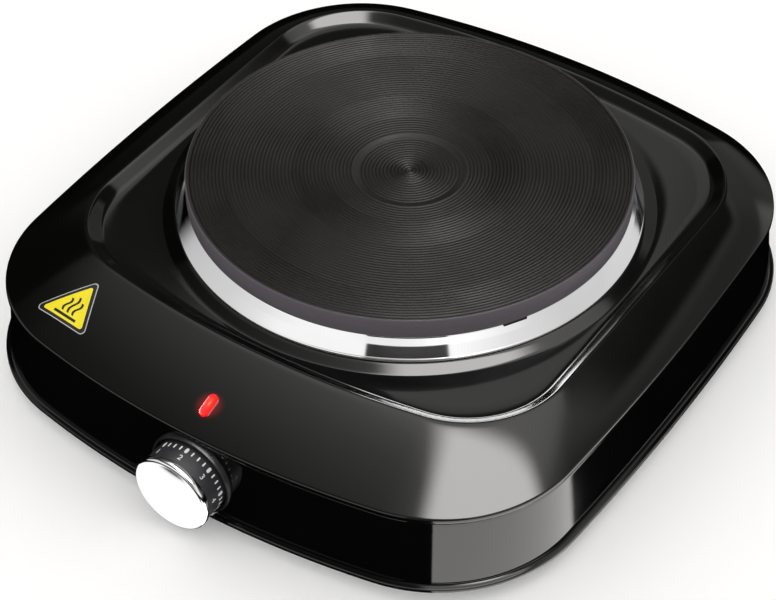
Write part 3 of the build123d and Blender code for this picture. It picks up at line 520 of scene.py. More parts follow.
wear(finish("black_nylon", (0.012, 0.012, 0.013), (0.022, 0.022, 0.023), (160, 2600),
            (0.38, 0.55), bump=0.5, bump_depth=0.0003), "gland_nut", "cord_gland")
wear(finish("resistor_paint", (0.60, 0.48, 0.30), (0.74, 0.62, 0.44), (800, 4000), (0.25, 0.4), bump=0.1),
     "lamp_resistor")
wear(finish("brown_sleeve", (0.12, 0.05, 0.02), (0.20, 0.09, 0.04), (260, 2600), (0.4, 0.55), bump=0.3),
     "lead_live")
wear(finish("blue_sleeve", (0.02, 0.08, 0.32), (0.04, 0.14, 0.46), (260, 2600), (0.4, 0.55), bump=0.3),
     "lead_neutral")
wear(finish("earth_sleeve", (0.05, 0.28, 0.03), (0.62, 0.60, 0.04), (90, 2600), (0.4, 0.55), bump=0.3),
     "lead_earth")
wear(finish("glass_fibre_sleeve", (0.62, 0.60, 0.54), (0.84, 0.82, 0.76), (500, 1800),
            (0.75, 0.9), bump=1.0, bump_depth=0.0004), "lead_switched", "lamp_lead_live",
     "lamp_lead_neutral")
neon_glass, neon_tree, neon_shader = blank_material("neon_glass")
neon_shader.inputs["Transmission Weight"].default_value = 0.8
neon_surface = grained(neon_tree, (1.0, 0.35, 0.12), (1.0, 0.55, 0.30), (60, 900), (0.08, 0.08))
neon_tree.links.new(neon_surface.outputs["Colour"], neon_shader.inputs["Emission Color"])
neon_shader.inputs["Emission Strength"].default_value = 1.5
wear(neon_glass, "neon_tube")

# ------------------------------------------------------------------ top cover
# One deep-drawn steel sheet in glossy black enamel: a domed apron, a raised crest round
# a shallow well, and a round raised seat for the hot plate.
lens_low, lens_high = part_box("lamp_lens")
lens_centre = (lens_low + lens_high) / 2
# The cover's enamel carries a painted red glow of the pilot lamp round the lens, as emission.
cover_enamel = enamel("black_enamel_cover", (0.0020, 0.0020, 0.0018), 0.08,
                      glow=(tuple(lens_centre), 0.0072, 0.16))
plate_low, plate_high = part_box("cast_iron_plate")
plate_centre = Vector(((plate_low.x + plate_high.x) / 2, (plate_low.y + plate_high.y) / 2, 0))
crest = {"half_width": 0.11075, "half_depth": 0.1111, "centre_y": 0.0101,
         "corner": 0.0448, "end_bow": 0.0155, "side_bow": 0.0004}
edge_z = cover_low.z + 0.0022
crest_z = cover_high.z
well_z = crest_z - 0.0031
seat_z = crest_z - 0.0012


def apron_plan(share):
    """Plan of the apron a share of the way from the crest out to the edge."""
    return {key: crest[key] + share * (cover_edge[key] - crest[key]) for key in crest}


def apron_height(share):
    """Height of the apron: gentle at the crest, steeper towards the edge."""
    gentle = 0.45
    return crest_z - (crest_z - edge_z) * ((1 - gentle) * share + gentle * share ** 2)


cover_rows = []
for inset, z in ((0.0003, cover_low.z), (0.00005, cover_low.z + 0.0003), (0.0, cover_low.z + 0.0009),
                 (0.00002, edge_z - 0.0007), (0.00012, edge_z - 0.0003)):
    cover_rows.append(plan_row(cover_edge, inset, z))
apron_shares = [0.99, 0.975, 0.95] + [0.90 - 0.06 * i for i in range(14)] + [0.07, 0.035]
for share in apron_shares:
    cover_rows.append(plan_row(apron_plan(share), 0.0, apron_height(share)))
crest_profile = [(0.0002, -0.00002), (0.0007, -0.00008), (0.0012, -0.00026), (0.0017, -0.00054),
                 (0.0022, -0.00085), (0.0024, -0.00097), (0.0046, -0.00228), (0.0048, -0.00240),
                 (0.0053, -0.00266), (0.0058, -0.00286), (0.0064, -0.00300), (0.0070, -0.00308)]
for inset, drop in crest_profile:
    cover_rows.append(plan_row(crest, inset, crest_z + drop))


def round_row(radius, z, like):
    """Circle about the plate's axis, its points in line with the points of another row."""
    row = []
    for x, y, _ in like:
        angle = math.atan2(y - plate_centre.y, x - plate_centre.x)
        row.append((plate_centre.x + radius * math.cos(angle), plate_centre.y + radius * math.sin(angle), z))
    return row


well_row = cover_rows[-1]
foot_row = round_row(0.1031, well_z, well_row)
for share in (0.25, 0.5, 0.75):
    cover_rows.append([tuple(Vector(a).lerp(Vector(b), share)) for a, b in zip(well_row, foot_row)])
seat_profile = [(0.1031, 0.0), (0.1026, 0.00008), (0.1021, 0.00024), (0.1016, 0.00044), (0.1014, 0.000518),
                (0.0992, 0.001382), (0.0990, 0.00146),
                (0.0985, 0.00164), (0.0979, 0.00180), (0.0972, 0.00189), (0.0964, 0.0019)]
for radius, rise in seat_profile:
    cover_rows.append(round_row(radius, well_z + rise, well_row))
hole_radius = 0.088
for radius, z in ((0.0900, seat_z), (hole_radius + 0.0003, seat_z - 0.0001), (hole_radius, seat_z - 0.0005)):
    cover_rows.append(round_row(radius, z, well_row))
top_cover = skinned("top_cover_enamelled", cover_rows, cover_enamel, 0.0009)
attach(top_cover, "housing")
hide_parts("top_cover")

# ------------------------------------------------------------------ trim ring
# The spill ring between plate and cover: spun from bright stainless steel, with a thin
# rolled rim that lies on the seat and a cone that rises to the underside of the plate.


def calculator(tree):
    """Function that adds a math node on numbers or sockets to a tree and gives its result."""

    def calc(operation, *terms):
        node = tree.nodes.new("ShaderNodeMath")
        node.operation = operation
        for i, term in enumerate(terms):
            if isinstance(term, (int, float)):
                node.inputs[i].default_value = term
            else:
                tree.links.new(term, node.inputs[i])
        return node.outputs[0]

    return calc


def sums(calc):
    """The four rules of arithmetic as functions that add nodes."""
    return [partial(calc, rule) for rule in ("ADD", "SUBTRACT", "MULTIPLY", "DIVIDE")]


def bright_metal(name, tint, roughness, brushed_about, scratch):
    """Polished metal with very fine turning marks running round an upright axis."""
    material, tree, shader = blank_material(name)
    new, link = tree.nodes.new, tree.links.new
    shader.inputs["Metallic"].default_value = 1.0
    where = new("ShaderNodeTexCoord")
    centred = new("ShaderNodeMapping")
    centred.inputs["Location"].default_value = [-c for c in brushed_about]
    link(where.outputs["Object"], centred.inputs["Vector"])
    split = new("ShaderNodeSeparateXYZ")
    link(centred.outputs["Vector"], split.inputs["Vector"])
    calc = calculator(tree)
    squares = [calc("MULTIPLY", split.outputs[axis], split.outputs[axis]) for axis in ("X", "Y")]
    lines = new("ShaderNodeCombineXYZ")
    link(calc("SQRT", calc("ADD", *squares)), lines.inputs["X"])
    link(split.outputs["Z"], lines.inputs["Z"])
    marks = new("ShaderNodeTexNoise")
    preset(marks, {"Scale": 2600.0, "Detail": 2})
    link(lines.outputs["Vector"], marks.inputs["Vector"])
    embossed(tree, marks.outputs["Fac"], scratch, 0.00005)
    grained(tree, [c * 0.94 for c in tint], tint, (40, 900), (roughness * 0.8, roughness * 1.3))
    return material


ring_low, ring_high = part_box("trim_ring")
ring_radius = (ring_high.x - ring_low.x) / 2
rim_z = seat_z + 0.0003
ring_steel = bright_metal("bright_stainless", (0.84, 0.85, 0.87), 0.06, (0, plate_centre.y, 0), 0.03)
cone_foot = Vector((ring_radius - 0.00035, rim_z + 0.00105))
cone_width = cone_foot.x - 0.0917
cone = []
for share in (0.0, 0.04, 0.56, 0.58, 0.62, 0.64, 0.96, 1.0):
    rise = 1.17 * min(share, 0.6) + 1.11 * max(share - 0.6, 0.0)
    cone.append((cone_foot.x - cone_width * share, cone_foot.y + cone_width * rise))
ring_profile = [(ring_radius - 0.0012, rim_z), (ring_radius - 0.0003, rim_z), (ring_radius, rim_z + 0.0003),
                (ring_radius, rim_z + 0.0006), (ring_radius - 0.0001, rim_z + 0.00085), *cone,
                (0.0914, ring_high.z - 0.00015), (0.0909, ring_high.z), (0.0870, ring_high.z),
                (0.0870, ring_low.z), (0.0876, ring_low.z), (0.0876, ring_high.z - 0.0006),
                (0.0895, ring_high.z - 0.0006), (0.0905, ring_high.z - 0.0012),
                (ring_radius - 0.0024, rim_z + 0.0012)]
trim_ring = turned("trim_ring_spun", ring_profile, 240, centre=tuple(plate_centre),
                   material=ring_steel, sharp=50.0)
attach(trim_ring, "housing")
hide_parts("trim_ring")

# ------------------------------------------------------------------ cast iron plate
# Grey iron casting, faced on a lathe: fine concentric grooves over a slightly dished
# face, a sunk centre disc, a turned rim and a locating lug underneath.
groove_pitch = 0.0015
rim_radius = (plate_high.x - plate_low.x) / 2
disc_radius = 0.024


def cast_iron_finish():
    """Seasoned iron: brown-black and dull, with painted shade darkening the grooves, and a lighter
    purple-grey on the rows past the face: rim, side wall and underside.
    """
    material, tree, shader = blank_material("seasoned_cast_iron")
    new, link = tree.nodes.new, tree.links.new
    shader.inputs["Specular IOR Level"].default_value = 0.20
    surface = grained(tree, (0.0075, 0.0067, 0.0063), (0.016, 0.0143, 0.0135), (45, 1300), (0.42, 0.58))
    embossed(tree, surface.outputs["Relief"], 0.35, 0.0002)
    colour = surface.outputs["Colour"]
    # The groove mix is painted shade in the grooves; the rim mix makes the rows past the face lighter
    # purple-grey.
    for mark, tone in (("groove", (0.003, 0.0026, 0.0024, 1)), ("rim", (0.105, 0.094, 0.108, 1))):
        amount = new("ShaderNodeAttribute")
        amount.attribute_name = mark
        shade = new("ShaderNodeMix")
        shade.data_type = "RGBA"
        shade.inputs["B"].default_value = tone
        link(amount.outputs["Fac"], shade.inputs["Factor"])
        link(colour, shade.inputs["A"])
        colour = shade.outputs["Result"]
    link(colour, shader.inputs["Base Color"])
    return material


iron = cast_iron_finish()


def plate_tree():
    """Tree that turns the plate: a grid of rings by spokes, set to radius and height by rule."""
    lengths = ("Rim radius", "Top height", "Rim depth", "Shoulder radius", "Body radius", "Body bottom",
               "Channel depth", "Centre Y", "Groove pitch", "Groove depth", "Dish depth", "Disc radius",
               "Disc depth", "Land width")
    tree, start, end, sockets = geometry_tree("turned_plate", [
        *((label, FLOAT) for label in lengths), ("Spokes", "NodeSocketInt"), ("Face rings", "NodeSocketInt"),
        ("Finish", "NodeSocketMaterial")])
    new, link = tree.nodes.new, tree.links.new
    calc = calculator(tree)
    plus, less, times, over = sums(calc)
    given = start.outputs
    rim, top, disc = given["Rim radius"], given["Top height"], given["Disc radius"]
    shoulder, body, floor = given["Shoulder radius"], given["Body radius"], given["Body bottom"]
    # Rows past the face: rim chamfer, side wall, underside, shoulder and closing centre.
    base = less(top, given["Rim depth"])
    low = less(base, 0.0035)
    roof = plus(floor, given["Channel depth"])
    past_rows = [(less(rim, 0.0002), less(top, 0.0002)),
                 (rim, less(top, 0.0008)), (rim, plus(base, 0.0005)),
                 (less(rim, 0.0004), base), (shoulder, base), (shoulder, low),
                 (body, less(low, 0.002)), (body, floor),
                 (0.071, floor), (0.071, roof), (0.055, roof), (0.055, floor), (0.047, floor),
                 (0.047, roof), (0.031, roof), (0.031, floor), (0.006, floor), (0.0, floor)]
    ring_count = plus(given["Face rings"], len(past_rows))
    last_face_ring = less(given["Face rings"], 1.0)
    index = new("GeometryNodeInputIndex").outputs[0]
    ring_index = calc("FLOOR", over(plus(index, 0.5), ring_count))
    row = less(index, times(ring_index, ring_count))
    turn = times(over(ring_index, less(given["Spokes"], 1.0)), 2 * math.pi)
    face_share = calc("MINIMUM", over(row, last_face_ring), 1.0)
    face_radius = times(face_share, less(rim, 0.0007))
    # Grooves: a rounded wave of the radius, faded out on the land and on the disc's slope.
    phase = over(less(face_radius, disc), given["Groove pitch"])
    wave = calc("POWER", calc("ABSOLUTE", calc("SINE", times(phase, math.pi))), 1.6)
    slope_width = 0.0028
    land = less(rim, given["Land width"])
    in_field = calc("GREATER_THAN", face_radius, plus(disc, 0.0004))
    in_disc = calc("LESS_THAN", face_radius, less(disc, slope_width))
    off_land = calc("LESS_THAN", face_radius, land)
    groove = times(wave, times(plus(in_field, in_disc), off_land))
    # Dish: from the land down to the disc, then a smooth slope down to the disc's floor.
    out = over(less(face_radius, disc), less(land, disc))
    clamped = calc("MINIMUM", calc("MAXIMUM", out, 0.0), 1.0)
    dish = times(given["Dish depth"], less(1.0, clamped))
    inner = over(less(disc, face_radius), slope_width)
    inner_clamped = calc("MINIMUM", calc("MAXIMUM", inner, 0.0), 1.0)
    smooth = times(times(inner_clamped, inner_clamped), less(3.0, times(inner_clamped, 2.0)))
    sunk = times(given["Disc depth"], smooth)
    cut_depth = times(groove, given["Groove depth"])
    radius, height = face_radius, less(top, plus(dish, plus(sunk, cut_depth)))
    past = less(row, last_face_ring)
    for step, (side_radius, side_height) in enumerate(past_rows, 1):
        here = calc("COMPARE", past, float(step), 0.1)
        keep = less(1.0, here)
        radius = plus(times(radius, keep), times(side_radius, here))
        height = plus(times(height, keep), times(side_height, here))
    place = new("ShaderNodeCombineXYZ")
    link(times(radius, calc("COSINE", turn)), place.inputs["X"])
    link(plus(times(radius, calc("SINE", turn)), given["Centre Y"]), place.inputs["Y"])
    link(height, place.inputs["Z"])
    grid = new("GeometryNodeMeshGrid")
    link(given["Spokes"], grid.inputs["Vertices X"])
    link(ring_count, grid.inputs["Vertices Y"])
    surface = grid.outputs["Mesh"]
    # The groove wave is stored for the painted shade in the grooves, and the rows past the face as the rim.
    for mark, amount in (("groove", times(groove, calc("LESS_THAN", past, 0.5))),
                         ("rim", calc("GREATER_THAN", past, 0.5))):
        store = new("GeometryNodeStoreNamedAttribute")
        store.inputs["Name"].default_value = mark
        link(surface, store.inputs["Geometry"])
        link(amount, store.inputs["Value"])
        surface = store.outputs["Geometry"]
    move = new("GeometryNodeSetPosition")
    link(surface, move.inputs["Geometry"])
    link(place.outputs["Vector"], move.inputs["Position"])
    close = new("GeometryNodeMergeByDistance")
    close.inputs["Distance"].default_value = 0.00001
    link(move.outputs["Geometry"], close.inputs["Geometry"])
    bake_and_paint(tree, close.outputs["Geometry"], given["Finish"], end)
    return tree, sockets


turn_tree, turn_sockets = plate_tree()
face_rings = 4 * round(rim_radius / groove_pitch)
cast_plate = run_tree("cast_iron_plate_turned", turn_tree, turn_sockets, {
    "Rim radius": rim_radius, "Top height": plate_high.z, "Rim depth": plate_high.z - ring_high.z,
    "Shoulder radius": 0.0865, "Body radius": 0.078, "Body bottom": plate_low.z, "Channel depth": 0.0125,
    "Centre Y": plate_centre.y, "Groove pitch": groove_pitch, "Groove depth": 0.00042,
    "Dish depth": 0.0013, "Disc radius": disc_radius, "Disc depth": 0.0009, "Land width": 0.0018,
    "Spokes": 257, "Face rings": face_rings, "Finish": iron}, sharp=60.0)
plate_form = bmesh.new()
plate_form.from_mesh(cast_plate.data)
bmesh.ops.recalc_face_normals(plate_form, faces=plate_form.faces)
plate_form.to_mesh(cast_plate.data)
plate_form.free()
lug_turn = math.radians(-30)
lug_form = bmesh.new()
bmesh.ops.create_cube(lug_form, size=1.0)
bmesh.ops.scale(lug_form, vec=(0.0010, 0.0100, 0.0012), verts=lug_form.verts)
bmesh.ops.bevel(lug_form, geom=lug_form.edges, offset=0.0002, segments=2, profile=0.5, affect="EDGES")
bmesh.ops.rotate(lug_form, cent=(0, 0, 0), matrix=Matrix.Rotation(lug_turn, 3, "Z"), verts=lug_form.verts)
lug_place = (plate_centre.x + (rim_radius - 0.0006) * math.cos(lug_turn),
             plate_centre.y + (rim_radius - 0.0006) * math.sin(lug_turn), ring_high.z - 0.0003)
bmesh.ops.translate(lug_form, vec=lug_place, verts=lug_form.verts)
locating_lug = settle("locating_lug_cast", lug_form, iron, 60.0)
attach(locating_lug, "housing")
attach(cast_plate, "housing")
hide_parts("cast_iron_plate")

# ------------------------------------------------------------------ control knob
# Moulded dark knob: a fixed bezel ring on the band, a turning body with a printed scale,
# and a pressed, domed and chromed cap on its front.
bezel_low, bezel_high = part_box("knob_bezel")
body_low, body_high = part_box("knob_body")
cap_low, cap_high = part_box("knob_cap")
knob_centre = (0.0, 0.0, knob_axis_z)
body_radius = (body_high.x - body_low.x) / 2
cap_radius = (cap_high.x - cap_low.x) / 2
bezel_moulding = finish("bezel_moulding", (0.010, 0.010, 0.012), (0.020, 0.020, 0.023),
                        (90, 1500), (0.3, 0.42), bump=0.35, bump_depth=0.0002)
bezel_profile = [(0.0053, bezel_high.y), (bezel_radius - 0.0003, bezel_high.y),
                 (bezel_radius, bezel_high.y - 0.0003), (bezel_radius, bezel_low.y + 0.0005),
                 (bezel_radius - 0.00015, bezel_low.y + 0.00015), (bezel_radius - 0.0005, bezel_low.y),
                 (bezel_radius - 0.0008, bezel_low.y), (bezel_radius - 0.0011, bezel_low.y + 0.0003),
                 (bezel_radius - 0.0011, bezel_high.y - 0.0009), (0.0053, bezel_high.y - 0.0009)]
knob_bezel = turned("knob_bezel_moulded", bezel_profile, 128, axis="Y", centre=knob_centre,
                    material=bezel_moulding)
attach(knob_bezel, "housing")
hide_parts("knob_bezel")

knob_moulding = finish("knob_moulding", (0.022, 0.021, 0.024), (0.040, 0.039, 0.043),
                       (90, 1700), (0.3, 0.4), bump=0.3, bump_depth=0.0002)
body_profile = [(0.0032, body_high.y - 0.002), (0.0056, body_high.y - 0.002), (0.0056, body_low.y + 0.0018),
                (body_radius - 0.0018, body_low.y + 0.0018), (body_radius - 0.0016, body_high.y),
                (body_radius - 0.0005, body_high.y), (body_radius - 0.0002, body_high.y - 0.0002),
                (body_radius - 0.00005, body_high.y - 0.0006), (body_radius, body_low.y + 0.0001),
                (body_radius - 0.0001, body_low.y), (0.0032, body_low.y)]
knob_body = turned("knob_body_moulded", body_profile, 128, axis="Y", centre=knob_centre,
                   material=knob_moulding)
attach(knob_body, "knob")
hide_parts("knob_body")

cap_metal = bright_metal("cap_chrome", (0.93, 0.93, 0.94), 0.08, (0, cap_low.y, knob_axis_z), 0.02)
dome = 0.0011
cap_edge = 0.0013
cap_profile = [(body_radius + 0.00005, cap_high.y), (cap_radius - 0.0002, cap_high.y),
               (cap_radius, cap_high.y - 0.0003), (cap_radius, cap_low.y + dome + cap_edge)]
face_radius = cap_radius - cap_edge
for i in range(1, 9):
    angle = math.radians(90 * i / 9)
    cap_profile.append((face_radius + cap_edge * math.cos(angle),
                        cap_low.y + dome + cap_edge * (1 - math.sin(angle))))
for i in range(16):
    share = 1 - i / 16
    cap_profile.append((face_radius * share, cap_low.y + dome * share ** 2))
cap_profile += [(0.0, cap_low.y), (0.0, cap_low.y + 0.0027), (body_radius + 0.00005, cap_low.y + 0.0027)]
knob_cap = turned("knob_cap_pressed", cap_profile, 160, axis="Y", centre=knob_centre, material=cap_metal)
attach(knob_cap, "knob")
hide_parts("knob_cap")

# ------------------------------------------------------------------ knob scale
# Printed white scale: short and long strokes round the knob's back edge, and plain
# numbers at the long strokes, all lying on the moulding as a thin ink film.
ink = finish("scale_ink", (0.72, 0.72, 0.72), (0.85, 0.85, 0.85), (300, 2500), (0.45, 0.55), bump=0.1)
stroke_step = math.radians(10)
first_stroke = math.radians(-35)
stroke_count = 29
long_every = 4


def slot_outline(length, width, count=12):
    """Points of a slot shape lying along Y."""
    points = []
    for end_sign, start_angle in ((1, 0.0), (-1, math.pi)):
        for i in range(count + 1):
            angle = start_angle + math.pi * i / count
            middle = end_sign * (length - width) / 2
            points.append((width / 2 * math.cos(angle), middle + width / 2 * math.sin(angle)))
    return points


def ink_stroke(name, width, length, lift):
    """Rounded bar lying along Y on a cylinder's top, as thick as an ink film."""
    form = bmesh.new()
    outline = slot_outline(length, width, 6)
    top = [form.verts.new((x, y, lift)) for x, y in outline]
    base = [form.verts.new((x, y, -lift)) for x, y in outline]
    form.faces.new(top)
    form.faces.new(list(reversed(base)))
    stitch(form, [base, top])
    bmesh.ops.recalc_face_normals(form, faces=form.faces)
    return settle(name, form, None, 30.0)


film = 0.00006
stroke_y = body_high.y - 0.0042
for kind, width, length, chosen in (("short", 0.00065, 0.0021, False), ("long", 0.0013, 0.0026, True)):
    angles = [first_stroke + stroke_step * i for i in range(stroke_count) if (i % long_every == 0) == chosen]
    centres = [(body_radius * math.sin(a), stroke_y, knob_axis_z + body_radius * math.cos(a)) for a in angles]
    strokes = set_copies(f"scale_strokes_{kind}", ink_stroke("stroke_template", width, length, film),
                         centres, [(0, a, 0) for a in angles], ink)
    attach(strokes, "knob")


def wrapped_number(text, angle, height, centre_y):
    """Number as a thin mesh, bent round the knob with its foot towards the front."""
    curve = bpy.data.curves.new("number_" + text, "FONT")
    curve.body = text
    curve.size = height
    curve.align_x = curve.align_y = "CENTER"
    curve.extrude = film
    curve.resolution_u = 4
    holder = link_object("number_holder", curve)
    bpy.context.view_layer.update()
    mesh = modified_mesh(holder)
    bpy.data.objects.remove(holder)
    for vertex in mesh.vertices:
        x, y, z = vertex.co
        turn = angle + x / body_radius
        radius = body_radius + z
        vertex.co = (radius * math.sin(turn), centre_y + y, knob_axis_z + radius * math.cos(turn))
    return mesh


number_y = body_high.y - 0.0084
for i, text in enumerate(("1", "2", "3", "4", "5", "6", "7")):
    mark_angle = first_stroke + stroke_step * long_every * i
    number = link_object("scale_number_" + text, wrapped_number(text, mark_angle, 0.0036, number_y), ink)
    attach(number, "knob")

# ------------------------------------------------------------------ pilot lamp
# A clear red polycarbonate lens, moulded with a flat top and a raised lip, pressed into
# its slot in the apron over a neon tube.
lamp_red, lamp_tree, lamp_shader = blank_material("pilot_red")
lamp_new, lamp_link = lamp_tree.nodes.new, lamp_tree.links.new
lamp_shift = lamp_new("ShaderNodeMapping")
glow_width, glow_length = 0.0016, 0.0042
preset(lamp_shift, {"Location": (-lens_centre.x / glow_width, -lens_centre.y / glow_length, 0),
                    "Scale": (1 / glow_width, 1 / glow_length, 0)})
lamp_fall = lamp_new("ShaderNodeVectorMath")
lamp_fall.operation = "LENGTH"
lamp_ramp = lamp_new("ShaderNodeValToRGB")
lamp_stops = lamp_ramp.color_ramp.elements
lamp_stops[0].color = (1.0, 0.16, 0.03, 1)
lamp_stops[1].color = (0.55, 0.004, 0.004, 1)
lamp_stops.new(0.35).color = (0.95, 0.02, 0.01, 1)
lamp_link(lamp_new("ShaderNodeTexCoord").outputs["Object"], lamp_shift.inputs["Vector"])
lamp_link(lamp_shift.outputs["Vector"], lamp_fall.inputs[0])
lamp_link(lamp_fall.outputs["Value"], lamp_ramp.inputs["Fac"])
lamp_link(lamp_ramp.outputs["Color"], lamp_shader.inputs["Base Color"])
lamp_link(lamp_ramp.outputs["Color"], lamp_shader.inputs["Emission Color"])
preset(lamp_shader, {"Emission Strength": 1.2, "Roughness": 0.12, "Coat Weight": 1.0})


def on_cover(x, y, lift):
    """Point on the cover's outer face at x, y, raised along the face's normal."""
    _, spot, normal, _ = top_cover.ray_cast(Vector((x, y, 0.2)), Vector((0, 0, -1)))
    return spot + normal * lift, normal


lens_spot, lens_normal = on_cover(lens_centre.x, lens_centre.y - 0.0006, 0.0)
across = Vector((1, 0, 0))
up_slope = lens_normal.cross(across).normalized()
lens_length, lens_width = 0.0102, 0.0043
lens_sections = [(1.0, -0.0030), (1.0, 0.0003), (0.97, 0.0008), (0.90, 0.00105), (0.80, 0.0010),
                 (0.74, 0.00072), (0.66, 0.00068), (0.0, 0.00068)]
lens_form = bmesh.new()
lens_loops = []
for grow, lift in lens_sections:
    loop = []
    inset = (1 - grow) * lens_width / 2
    for x, y in slot_outline(lens_length - 2 * inset, max(lens_width - 2 * inset, 0.00002)):
        point = lens_spot + across * x + up_slope * y + lens_normal * lift
        loop.append(lens_form.verts.new(point))
    lens_loops.append(loop)
stitch(lens_form, lens_loops)
lens_form.faces.new(list(reversed(lens_loops[0])))
bmesh.ops.remove_doubles(lens_form, verts=lens_form.verts, dist=0.00003)
bmesh.ops.recalc_face_normals(lens_form, faces=lens_form.faces)
lamp_lens = settle("lamp_lens_moulded", lens_form, lamp_red, 40.0)
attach(lamp_lens, "housing")
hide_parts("lamp_lens")

# ------------------------------------------------------------------ heat sign
# A printed foil stuck on the apron: pale edge, black border, yellow field and a plain
# sign of three rising strokes over a bar. Each colour is its own thin layer.
print_look = {"scales": (120, 1800), "polish": (0.3, 0.4), "bump": 0.05}
sign_yellow = finish("sign_yellow", (0.90, 0.72, 0.004), (1.0, 0.86, 0.01), **print_look)
sign_black = finish("sign_black", (0.008, 0.009, 0.014), (0.016, 0.017, 0.024), **print_look)
sign_pale = finish("sign_pale_edge", (0.46, 0.45, 0.42), (0.60, 0.59, 0.56), **print_look)
sign_left = Vector((-0.0917, -0.1212))
sign_right = Vector((-0.0654, -0.1247))
sign_top = Vector((-0.0750, -0.1028))
sign_centre = (sign_left + sign_right + sign_top) / 3


def rounded_triangle(grow, corner_radius, steps=8):
    """Triangle outline moved outwards by grow, with rounded corners."""
    corners = [sign_left, sign_right, sign_top]
    pulled = [sign_centre + (c - sign_centre) * (1 + grow / (c - sign_centre).length * 2) for c in corners]
    points = []
    for i, corner in enumerate(pulled):
        before = (pulled[i - 1] - corner).normalized()
        after = (pulled[(i + 1) % 3] - corner).normalized()
        half = before.angle(after) / 2
        middle = corner + (before + after).normalized() * (corner_radius / math.sin(half))
        start = corner + before * (corner_radius / math.tan(half)) - middle
        finish_at = corner + after * (corner_radius / math.tan(half)) - middle
        sweep = start.angle_signed(finish_at)
        for k in range(steps + 1):
            angle = -sweep * k / steps
            points.append(middle + Matrix.Rotation(angle, 2) @ start)
    return points


def foil(name, outlines, lift, material):
    """Thin layer of foil: flat outlines cut into small faces and laid on the cover."""
    form = bmesh.new()
    for outline in outlines:
        form.faces.new([form.verts.new((p[0], p[1], 0)) for p in outline])
    bmesh.ops.triangulate(form, faces=form.faces)
    bmesh.ops.subdivide_edges(form, edges=form.edges, cuts=3, use_grid_fill=True)
    for vertex in form.verts:
        vertex.co = on_cover(vertex.co.x, vertex.co.y, lift)[0]
    bmesh.ops.recalc_face_normals(form, faces=form.faces)
    if sum(face.normal.z for face in form.faces) < 0:
        bmesh.ops.reverse_faces(form, faces=form.faces)
    piece = settle(name, form, material, 60.0)
    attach(piece, "housing")
    return piece


def rising_stroke(base, lean, length, width, waves):
    """Outline of a gently waving stroke that rises from base along lean."""
    side = Vector((-lean.y, lean.x))
    left, right = [], []
    for i in range(17):
        share = i / 16
        middle = base + lean * (length * share) + side * (0.0007 * math.sin(2 * math.pi * waves * share))
        left.append(middle + side * width / 2)
        right.append(middle - side * width / 2)
    return left + list(reversed(right))


foil("sign_edge", [rounded_triangle(0.0007, 0.0017)], 0.00006, sign_pale)
foil("sign_border", [rounded_triangle(0.0003, 0.0014)], 0.00010, sign_black)
foil("sign_field", [rounded_triangle(-0.0010, 0.0009)], 0.00014, sign_yellow)
base_line = (sign_right - sign_left).normalized()
rise = Vector((-base_line.y, base_line.x))
bar_middle = sign_centre - rise * 0.0043
bar = [bar_middle + base_line * 0.0060 * a + rise * 0.00055 * b
       for a, b in ((-1, -1), (1, -1), (1, 1), (-1, 1))]
marks = [bar]
for k in (-1, 0, 1):
    marks.append(rising_stroke(bar_middle + base_line * 0.0028 * k + rise * 0.0014, rise,
                               0.0078 if k == 0 else 0.0062, 0.0011, 1.0))
foil("sign_marks", marks, 0.00018, sign_black)

# ------------------------------------------------------------------ studio
# A pale floor, a pale surround and soft boxes for the plain product light.
floor_material, _, floor_shader = blank_material("studio_floor")
preset(floor_shader, {"Base Color": (0.97, 0.97, 0.97, 1), "Emission Color": (1.0, 1.0, 1.0, 1),
                      "Emission Strength": 0.10, "Roughness": 0.9, "Specular IOR Level": 0.0})
floor_mesh = bpy.data.meshes.new("floor")
reach = 6.0
floor_mesh.from_pydata([(-reach, -reach, 0), (reach, -reach, 0), (reach, reach, 0), (-reach, reach, 0)], [],
                       [(0, 1, 2, 3)])
floor = link_object("floor", floor_mesh, floor_material)
floor.visible_glossy = False
knob_cap.visible_glossy = False

world = bpy.data.worlds.new("studio")
world.use_nodes = True
bpy.context.scene.world = world
sky = world.node_tree
sky_new, sky_link = sky.nodes.new, sky.links.new
sky_direction = sky_new("ShaderNodeTexCoord").outputs["Generated"]


sky_sum, sky_less, sky_times, _ = sums(calculator(sky))


def sky_fade(along, low, high, ends=(0.0, 1.0)):
    """Map range node over the direction's component along an axis."""
    dot = sky_new("ShaderNodeVectorMath")
    dot.operation = "DOT_PRODUCT"
    sky_link(sky_direction, dot.inputs[0])
    dot.inputs[1].default_value = along
    fade = sky_new("ShaderNodeMapRange")
    preset(fade, {"From Min": low, "From Max": high, "To Min": ends[0], "To Max": ends[1]})
    sky_link(dot.outputs["Value"], fade.inputs["Value"])
    return fade


def sky_side(along, start, end):
    """Value that goes smoothly from 0 to 1 as the direction passes start to end along an axis."""
    ends = (0.0, 1.0) if end > start else (1.0, 0.0)
    fade = sky_fade(along, min(start, end), max(start, end), ends)
    fade.interpolation_type = "SMOOTHSTEP"
    return fade.outputs["Result"]


def sky_patch(strength, *sides):
    """Soft panel in the sky: the product of its sides, at a strength."""
    value = strength
    for side in sides:
        value = sky_times(sky_side(*side), value)
    return value


def sky_ramp(along, low, high, stops):
    """Brightness by stops along an axis."""
    ramp = sky_new("ShaderNodeValToRGB")
    sky_link(sky_fade(along, low, high).outputs["Result"], ramp.inputs["Fac"])
    elements = ramp.color_ramp.elements
    elements[0].position, elements[1].position = 0.0, 1.0
    while len(elements) < len(stops):
        elements.new(0.5)
    for element, (place, value) in zip(elements, stops):
        element.position = (place - low) / (high - low)
        element.color = (value, value, value, 1)
    return ramp.outputs["Color"]


def bearing(degrees, side=1):
    """Level axis, positive on the side past a bearing counted from the front to the right."""
    turn = math.radians(degrees)
    return (side * math.cos(turn), side * math.sin(turn), 0.0)


